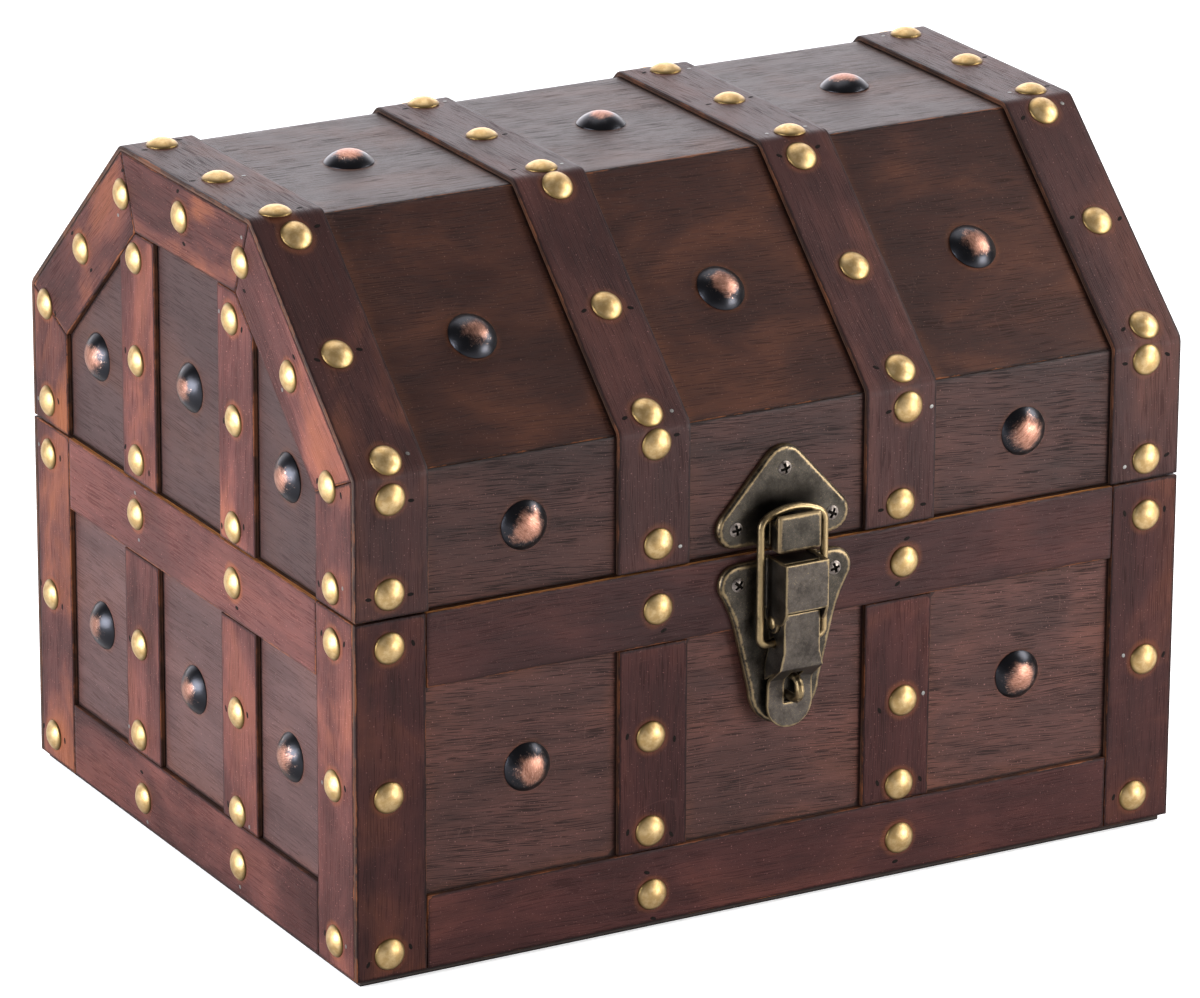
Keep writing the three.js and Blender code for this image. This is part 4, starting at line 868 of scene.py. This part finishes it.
# Copper dome nails. An 18 mm head, blackened and then rubbed back to bare copper on its crown, where it
# keeps fine brush lines.
copper, tree, shader = new_material("blackened_copper", 1.0)
head, radius = read_head(tree)
patina = cloud(tree, head, 1.5, 5.0, 0.65)
brush = cloud(tree, head, (5, 22, 3), 4.0, 0.65, turn=(0, 0, 0.6))
amount = read_note(tree, "bare")
edge_line = times(tree, brush, -0.25, times(tree, patina, -0.9, radius))
edge_line = times(tree, amount, -0.5, calc(tree, "ADD", edge_line, 0.5))
bare = times(tree, fade(tree, edge_line, 0.20, -0.18), fade(tree, amount, 0.2, 1.0, 0.35, 1.0))
bright = mix_colours(tree, fade(tree, brush, 0.3, 0.7), (0.25, 0.110, 0.072), (0.47, 0.245, 0.175))
colour = mix_colours(tree, bare, (0.030, 0.030, 0.034), bright)
flecks = times(tree, fade(tree, cloud(tree, head, 9.0, 5.0, 0.8), 0.57, 0.68), fade(tree, edge_line, 0.34, 0.10))
colour = mix_colours(tree, flecks, colour, (0.62, 0.40, 0.31))
coat(tree, shader, colour, fade(tree, bare, 0, 1, 0.30, 0.46), brush, 0.3)
drive_nails("copper", copper_radius, height=0.0046, around=40, rings=56, material=copper)


# Brads. Thin steel pins beside the dome nails of the strips. Most are punched in and show as a short
# dark slit, a flat dark piece that is painted shade for the hole, and some show a grey head. All those of one look
# and one body are one piece.
brad_looks = {}
for look, name, metallic, dark, light, roughness, shine in (
        ("heads", "steel_brad", 1.0, (0.10, 0.10, 0.095), (0.30, 0.29, 0.27), 0.5, 0.5),
        ("slits", "punched_slit", 0.0, (0.004, 0.003, 0.003), (0.016, 0.012, 0.010), 0.9, 0.1)):
    brad_looks[look], tree, shader = new_material(name, metallic)
    grit = cloud(tree, add_node(tree, "ShaderNodeTexCoord").outputs["Object"], 2500.0)
    plug(tree, shader, {"Base Color": mix_colours(tree, grit, dark, light), "Roughness": roughness,
                        "Specular IOR Level": shine})
brad = press_dome("brad_head", radius=0.00055, height=0.0003, around=12, rings=12)
brad_sink, brad_shapes = 0.00008, {"slits": (1.6, 0.85, 0.5, 1), "heads": (1.0, 0.85, 1, 1)}
no_brad, slit_share, clear_of_dome = 0.2, 0.7, brass_radius + 0.001
brad_drift, brad_near, brad_far = 0.003, 0.0078, 0.0096
heads = np.array([place.translation for _, _, _, place in nail_spots])
brads = {}
for carrier, body, kind, place in nail_spots:
    for way in (-1, 1):
        if kind == "copper" or random.random() < no_brad:
            continue
        along, across = random.uniform(-brad_drift, brad_drift), way * random.uniform(brad_near, brad_far)
        if "band" in carrier:
            along, across = across, along
        look = "slits" if random.random() < slit_share else "heads"
        spot = np.array(place @ Vector((along, across, 0)))
        if np.linalg.norm(heads - spot, axis=1).min() < clear_of_dome:
            continue
        turn = Matrix.Rotation(random.uniform(-0.6, 0.6), 4, "Z")
        sunk = place @ Matrix.Translation((along, across, -brad_sink))
        brads.setdefault((body, look), []).append(
            copy_piece("brad", brad, sunk @ turn @ Matrix.Diagonal(brad_shapes[look])))
bpy.data.objects.remove(brad)
for (body, look), copies in brads.items():
    join_copies(f"brad_{look}_{body}", copies, body, brad_looks[look], "latch_screw")


# Toggle latch. Pressed plates of bronzed steel with soft rims, screwed to the lid and the base, a folded
# lever on a riveted pin and a half ring for a padlock. The brown finish is worn to brass on every rim,
# and the catch plate carries a painted shadow round the hook.
rim_group, takes, gives = start_group("worn_rims", {"Rim": 1.0, "Reach": 0.001}, ("Mask", "Mottle", "Scuffs"))
tree = rim_group
place = add_node(tree, "ShaderNodeTexCoord").outputs["Object"]
scrape = cloud(tree, place, 900.0, 4.0, 0.65)
broad = cloud(tree, place, 160.0, 4.0, 0.6)
fine = cloud(tree, place, 2600.0, 3.0, 0.7)
near = calc(tree, "SUBTRACT", 1.0, calc(tree, "DIVIDE", takes["Rim"], takes["Reach"]))
mask = times(tree, calc(tree, "SUBTRACT", scrape, 0.5), 1.6, near)
mask = times(tree, calc(tree, "SUBTRACT", broad, 0.5), 1.4, mask)
plug(tree, gives, {
    "Mask": fade(tree, mask, -0.1, 1.1),
    "Mottle": times(tree, scrape, 0.35, times(tree, broad, 0.65)),
    "Scuffs": times(tree, fade(tree, fine, 0.55, 0.70), fade(tree, broad, 0.42, 0.6, 0.15, 0.6)),
})


def bronze_metal(name, dark, light, worn, reach, smooth):
    """A mottled finish that is worn through within reach of a rim."""
    material, tree, shader = new_material(name, 1.0)
    rims = add_node(tree, "ShaderNodeGroup", {"Reach": reach, "Rim": read_note(tree, "rim")},
                    node_tree=rim_group).outputs
    colour = mix_colours(tree, fade(tree, rims["Mottle"], 0.28, 0.70), dark, light)
    colour = mix_colours(tree, rims["Scuffs"], colour, worn)
    colour = mix_colours(tree, rims["Mask"], colour, worn)
    # Painted shadow of the hook on the catch plate.
    colour = mix_colours(tree, times(tree, read_note(tree, "painted_hook_shadow"), 0.9), colour, (0.006, 0.005, 0.004))
    coat(tree, shader, colour, fade(tree, rims["Mottle"], 0.3, 0.7, smooth, smooth + 0.16), rims["Mottle"], 0.2)
    return material


plate_bronze = bronze_metal("plate_bronze", (0.020, 0.0175, 0.0145), (0.064, 0.056, 0.046), (0.22, 0.160, 0.088),
                            0.0008, 0.34)
latch_bronze = bronze_metal("latch_bronze", (0.030, 0.0255, 0.0220), (0.088, 0.075, 0.064), (0.22, 0.163, 0.090),
                            0.0006, 0.36)
latch_brass = bronze_metal("latch_worn_brass", (0.075, 0.057, 0.034), (0.19, 0.142, 0.080), (0.31, 0.225, 0.115),
                           0.0010, 0.32)
latch_middle, catch_face, plate_face = 0.002, -0.1274, -0.1295
catch_holes = [(latch_middle + x, catch_face, z) for x, z in ((-0.0192, 0.1423), (0.0192, 0.1423), (0, 0.1618))]
plate_holes = [(latch_middle + x, plate_face, z) for x, z in ((-0.0193, 0.1227), (0.0193, 0.1227), (0, 0.074))]
hook_reach, hook_top, shadow_foot, shadow_width = 0.009, 0.1505, 0.137, 0.0065
catch_thickness, shadow_strength = 0.0013, 1.15
ridge_bend, rim_width, hole_rim, wear_pitch = 0.13, 0.0011, 0.0023, 0.0016


def note_rims(piece):
    """Writes each point's distance from the nearest rounded edge, where the finish wears, and a painted
    shadow of the hook on the face of the catch plate."""
    mesh = piece.data
    points = read_points(piece)
    normals = read_array(mesh.vertices, "normal")
    edges = read_array(mesh.edges, "vertices", 2, int)
    bend = np.zeros(len(points))
    for a, b in ((0, 1), (1, 0)):
        away = points[edges[:, b]] - points[edges[:, a]]
        away /= np.maximum(np.linalg.norm(away, axis=1), 1e-9)[:, None]
        np.maximum.at(bend, edges[:, a], -(away * normals[edges[:, a]]).sum(axis=1))
    ridge = [i for i in range(len(points)) if bend[i] > ridge_bend]
    tree = KDTree(max(len(ridge), 1))
    for i in ridge or [0]:
        tree.insert(points[i], i)
    tree.balance()
    write_note(piece, "rim", np.array([tree.find(point)[2] for point in points]))
    # The painted shadow of the hook falls on the plate's face above its foot.
    on_plate = (points[:, 1] > catch_face - catch_thickness) & (points[:, 2] > shadow_foot)
    gap = np.hypot(np.maximum(np.abs(points[:, 0] - latch_middle) - hook_reach, 0),
                   np.maximum(points[:, 2] - hook_top, 0))
    write_note(piece, "painted_hook_shadow", np.clip(shadow_strength - gap / shadow_width, 0, 1) * on_plate)


def score(piece, pitch):
    """Cuts a grid of points into the flat faces, for the wear to be written on."""
    points, first_cut = read_points(piece), pitch * 0.6
    for axis in range(3):
        normal = tuple(float(i == axis) for i in range(3))
        for at in np.arange(points[:, axis].min() + first_cut, points[:, axis].max(), pitch):
            bpy.ops.mesh.select_all(action="SELECT")
            bpy.ops.mesh.bisect(plane_co=tuple(c * at for c in normal), plane_no=normal)


def roll_rim(piece, face, holes):
    """Rolls over the outer edges of a pressed plate, which are the sharp ones that lie in its face."""
    bpy.ops.mesh.select_mode(type="EDGE")
    bpy.ops.mesh.select_all(action="DESELECT")
    bpy.ops.mesh.edges_select_sharp(sharpness=1.2)
    close_mesh()
    points, on_face = read_points(piece), 0.00005
    beside = {}
    for polygon in piece.data.polygons:
        for key in polygon.edge_keys:
            beside.setdefault(key, []).append(polygon)
    for edge in piece.data.edges:
        flat = all(abs(points[i][1] - face) < on_face for i in edge.vertices)
        sides = [p for p in beside[tuple(sorted(edge.vertices))] if abs(p.normal.y) < 0.5]
        clear = min((Vector(points[edge.vertices[0]]) - Vector(hole)).length for hole in holes) > hole_rim
        edge.select = edge.select and flat and clear and bool(sides) and all(p.center.y > face for p in sides)
    bpy.ops.object.mode_set(mode="EDIT")
    bpy.ops.mesh.bevel(offset=rim_width, segments=4, affect="EDGES", clamp_overlap=False)


def dress_metal(node, body, material, finish, soft, segments=3, rim=None):
    """A copy of a node with its facets joined, its edges rolled over and its finish on."""
    piece = copy_piece("metal_" + node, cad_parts[node])
    piece.data.name = piece.name
    piece.data.materials.clear()
    pick(piece)
    open_mesh()
    bpy.ops.mesh.remove_doubles(threshold=weld_gap)
    bpy.ops.mesh.select_all(action="SELECT")
    bpy.ops.mesh.dissolve_limited(angle_limit=flat_angle)
    if rim:
        roll_rim(piece, *rim)
    close_mesh()
    rolled = piece.modifiers.new("rolled_edges", "BEVEL")
    rolled.width = soft
    rolled.segments = segments
    rolled.limit_method = "ANGLE"
    rolled.angle_limit = math.radians(34)
    rolled.use_clamp_overlap = True
    bpy.ops.object.modifier_apply(modifier=rolled.name)
    bpy.ops.object.mode_set(mode="EDIT")
    score(piece, wear_pitch)
    close_mesh()
    bpy.ops.object.shade_smooth_by_angle(angle=math.radians(40))
    note_rims(piece)
    fit_out(piece, body, material, finish, node)


for node, body, material, finish, soft, rim in (
        ("latch_catch", "lid", plate_bronze, "latch_bronze", 0.0002, (catch_face, catch_holes)),
        ("latch_base_plate", "base", plate_bronze, "latch_bronze", 0.0002, (plate_face, plate_holes)),
        ("latch_bracket", "base", latch_bronze, "latch_bronze", 0.00035, None),
        ("latch_lever", "lever", latch_bronze, "latch_bronze", 0.0003, None),
        ("latch_pivot_pin", "base", latch_brass, "latch_brass", 0.0002, None),
        ("latch_staple", "base", latch_brass, "latch_brass", 0.0001, None)):
    dress_metal(node, body, material, finish, soft, rim=rim)


# Wire loop of the latch. A bent brass wire, its feet turned in and its crossbar arched, swept round along
# its path. It sits in the lever's cheeks and lies behind the lip of the hook.
wire_radius, wire_front, wire_half, wire_foot = 0.00145, -0.1333, 0.0127, 0.1007
foot_bend, shoulder_bend, shoulder_turn, shoulder_centre = 0.0026, 0.0048, math.radians(65), 0.1428
bend_steps, arch_steps, foot_tip, foot_end = 12, 15, 0.0057, 0.0080
wire_path = [(foot_tip, wire_foot), (foot_end, wire_foot)]
for radius, centre, start, sweep in ((foot_bend, wire_foot + foot_bend, -math.pi / 2, math.pi / 2),
                                     (shoulder_bend, shoulder_centre, 0, shoulder_turn)):
    for step in range(bend_steps + 1):
        angle = start + step / bend_steps * sweep
        wire_path.append((wire_half - radius + radius * math.cos(angle), centre + radius * math.sin(angle)))
arch_x, arch_z = wire_path[-1]
arch_rise = arch_x / math.tan(shoulder_turn)
for step in range(1, arch_steps + 1):
    share = step / arch_steps
    wire_path.append((arch_x * (1 - share), arch_z + arch_rise * (share - share ** 2 / 2)))
wire_path += [(-x, z) for x, z in reversed(wire_path[:-1])]
bpy.ops.object.select_all(action="DESELECT")
bpy.ops.curve.primitive_bezier_curve_add(location=(0, 0, 0))
wire = bpy.context.object
wire.data.splines.clear()
bends = wire.data.splines.new("POLY")
bends.points.add(len(wire_path) - 1)
for point, (x, z) in zip(bends.points, wire_path):
    point.co = (latch_middle + x, wire_front, z, 1)
wire.data.bevel_depth = wire_radius
wire.data.bevel_resolution = 6
wire.data.use_fill_caps = True
bpy.ops.object.convert(target="MESH")
wire = bpy.context.object
wire.name = wire.data.name = "metal_latch_loop"
open_mesh()
bpy.ops.mesh.remove_doubles(threshold=0.00001)
bpy.ops.mesh.normals_make_consistent(inside=False)
close_mesh()
bpy.ops.object.shade_smooth_by_angle(angle=math.radians(50))
write_note(wire, "rim", read_points(wire)[:, 1] - (wire_front - wire_radius))
fit_out(wire, "loop", latch_brass, "latch_brass", "latch_loop")


# Screws. Small raised-head screws of dull pewter colour with a cross recess, three in each latch plate
# and four in each leaf of the hinges.
screw_metal, tree, shader = new_material("pewter_screw", 1.0)
grit = cloud(tree, add_node(tree, "ShaderNodeTexCoord").outputs["Object"], 1400.0, 3.0, 0.6)
colour = mix_colours(tree, fade(tree, grit, 0.35, 0.7), (0.15, 0.125, 0.110), (0.33, 0.285, 0.25))
# The points down in the cross are painted near black, as painted shade.
colour = mix_colours(tree, fade(tree, read_note(tree, "painted_recess_shade"), 0.02, 0.5), colour, (0.006, 0.005, 0.004))
plug(tree, shader, {"Base Color": colour, "Roughness": fade(tree, grit, 0.3, 0.7, 0.34, 0.5)})


def turn_screw(radius, height, blade_size, recess_reach, recess_depth):
    """A raised head with a cross cut out of it. A note marks the points down in the cross, which are painted dark as
    shade.
    """
    head = press_dome("screw_head", radius, height, around=24, rings=40)
    for angle in (0, math.pi / 2):
        bpy.ops.object.select_all(action="DESELECT")
        bpy.ops.mesh.primitive_cube_add(size=1, location=(0, 0, height), rotation=(0, 0, angle))
        blade = bpy.context.object
        blade.scale = blade_size
        bpy.ops.object.transform_apply(location=True, rotation=True, scale=True)
        pick(head)
        recess = head.modifiers.new("recess", "BOOLEAN")
        recess.operation = "DIFFERENCE"
        recess.solver = "EXACT"
        recess.object = blade
        bpy.ops.object.modifier_apply(modifier=recess.name)
        bpy.data.objects.remove(blade)
    points = read_points(head)
    rise = height - rolled_rim
    ball = (radius ** 2 + rise ** 2) / (2 * rise)
    across = np.hypot(points[:, 0], points[:, 1])
    cap = np.sqrt(np.maximum(ball ** 2 - across ** 2, 0)) + height - ball
    sunk = (across < recess_reach) & (points[:, 2] > 0) & (points[:, 2] < cap - recess_depth)
    write_note(head, "painted_recess_shade", sunk.astype(float))
    return head


screw = turn_screw(radius=0.0026, height=0.0011, blade_size=(0.0038, 0.0011, 0.0018), recess_reach=0.0020,
                   recess_depth=0.0002)
hinge_face, hinge_line, screw_sink = 0.1285, 0.13285, 0.0001
hinge_holes = [(way * long_strap + shift, hinge_face, hinge_line + rise) for way in (-1, 1)
               for shift in (-0.0065, 0.0065) for rise in (-0.0205, -0.0064, 0.0064, 0.0205)]
for name, body, outward, spots in (
        ("latch_catch", "lid", (0, -1, 0), catch_holes),
        ("latch_base_plate", "base", (0, -1, 0), plate_holes),
        ("hinges_lid", "lid", (0, 1, 0), [spot for spot in hinge_holes if spot[2] > hinge_line]),
        ("hinges_base", "base", (0, 1, 0), [spot for spot in hinge_holes if spot[2] < hinge_line])):
    copies = []
    for spot in spots:
        turn = Matrix.Rotation(random.uniform(0, 1.5), 4, "Z")
        seat = stand_frame(outward, (1, 0, 0), spot) @ Matrix.Translation((0, 0, -screw_sink))
        copies.append(copy_piece("screw", screw, seat @ turn))
    join_copies("screws_" + name, copies, body, screw_metal, "latch_screw")
bpy.data.objects.remove(screw)


# Back hinges. Two small butt hinges of bright brass over the inner straps, each of two leaves and a pin.
# They are the solids with their edges rolled over and a worn finish on.
hinge_brass = bronze_metal("hinge_brass", (0.24, 0.17, 0.075), (0.50, 0.37, 0.18), (0.66, 0.52, 0.28), 0.0006, 0.30)
for side in ("left", "right"):
    for part, body in (("base_leaf", "base"), ("lid_leaf", "lid"), ("pin", "base")):
        dress_metal(f"hinge_{side}_{part}", body, hinge_brass, "hinge_brass", 0.0002, 2)
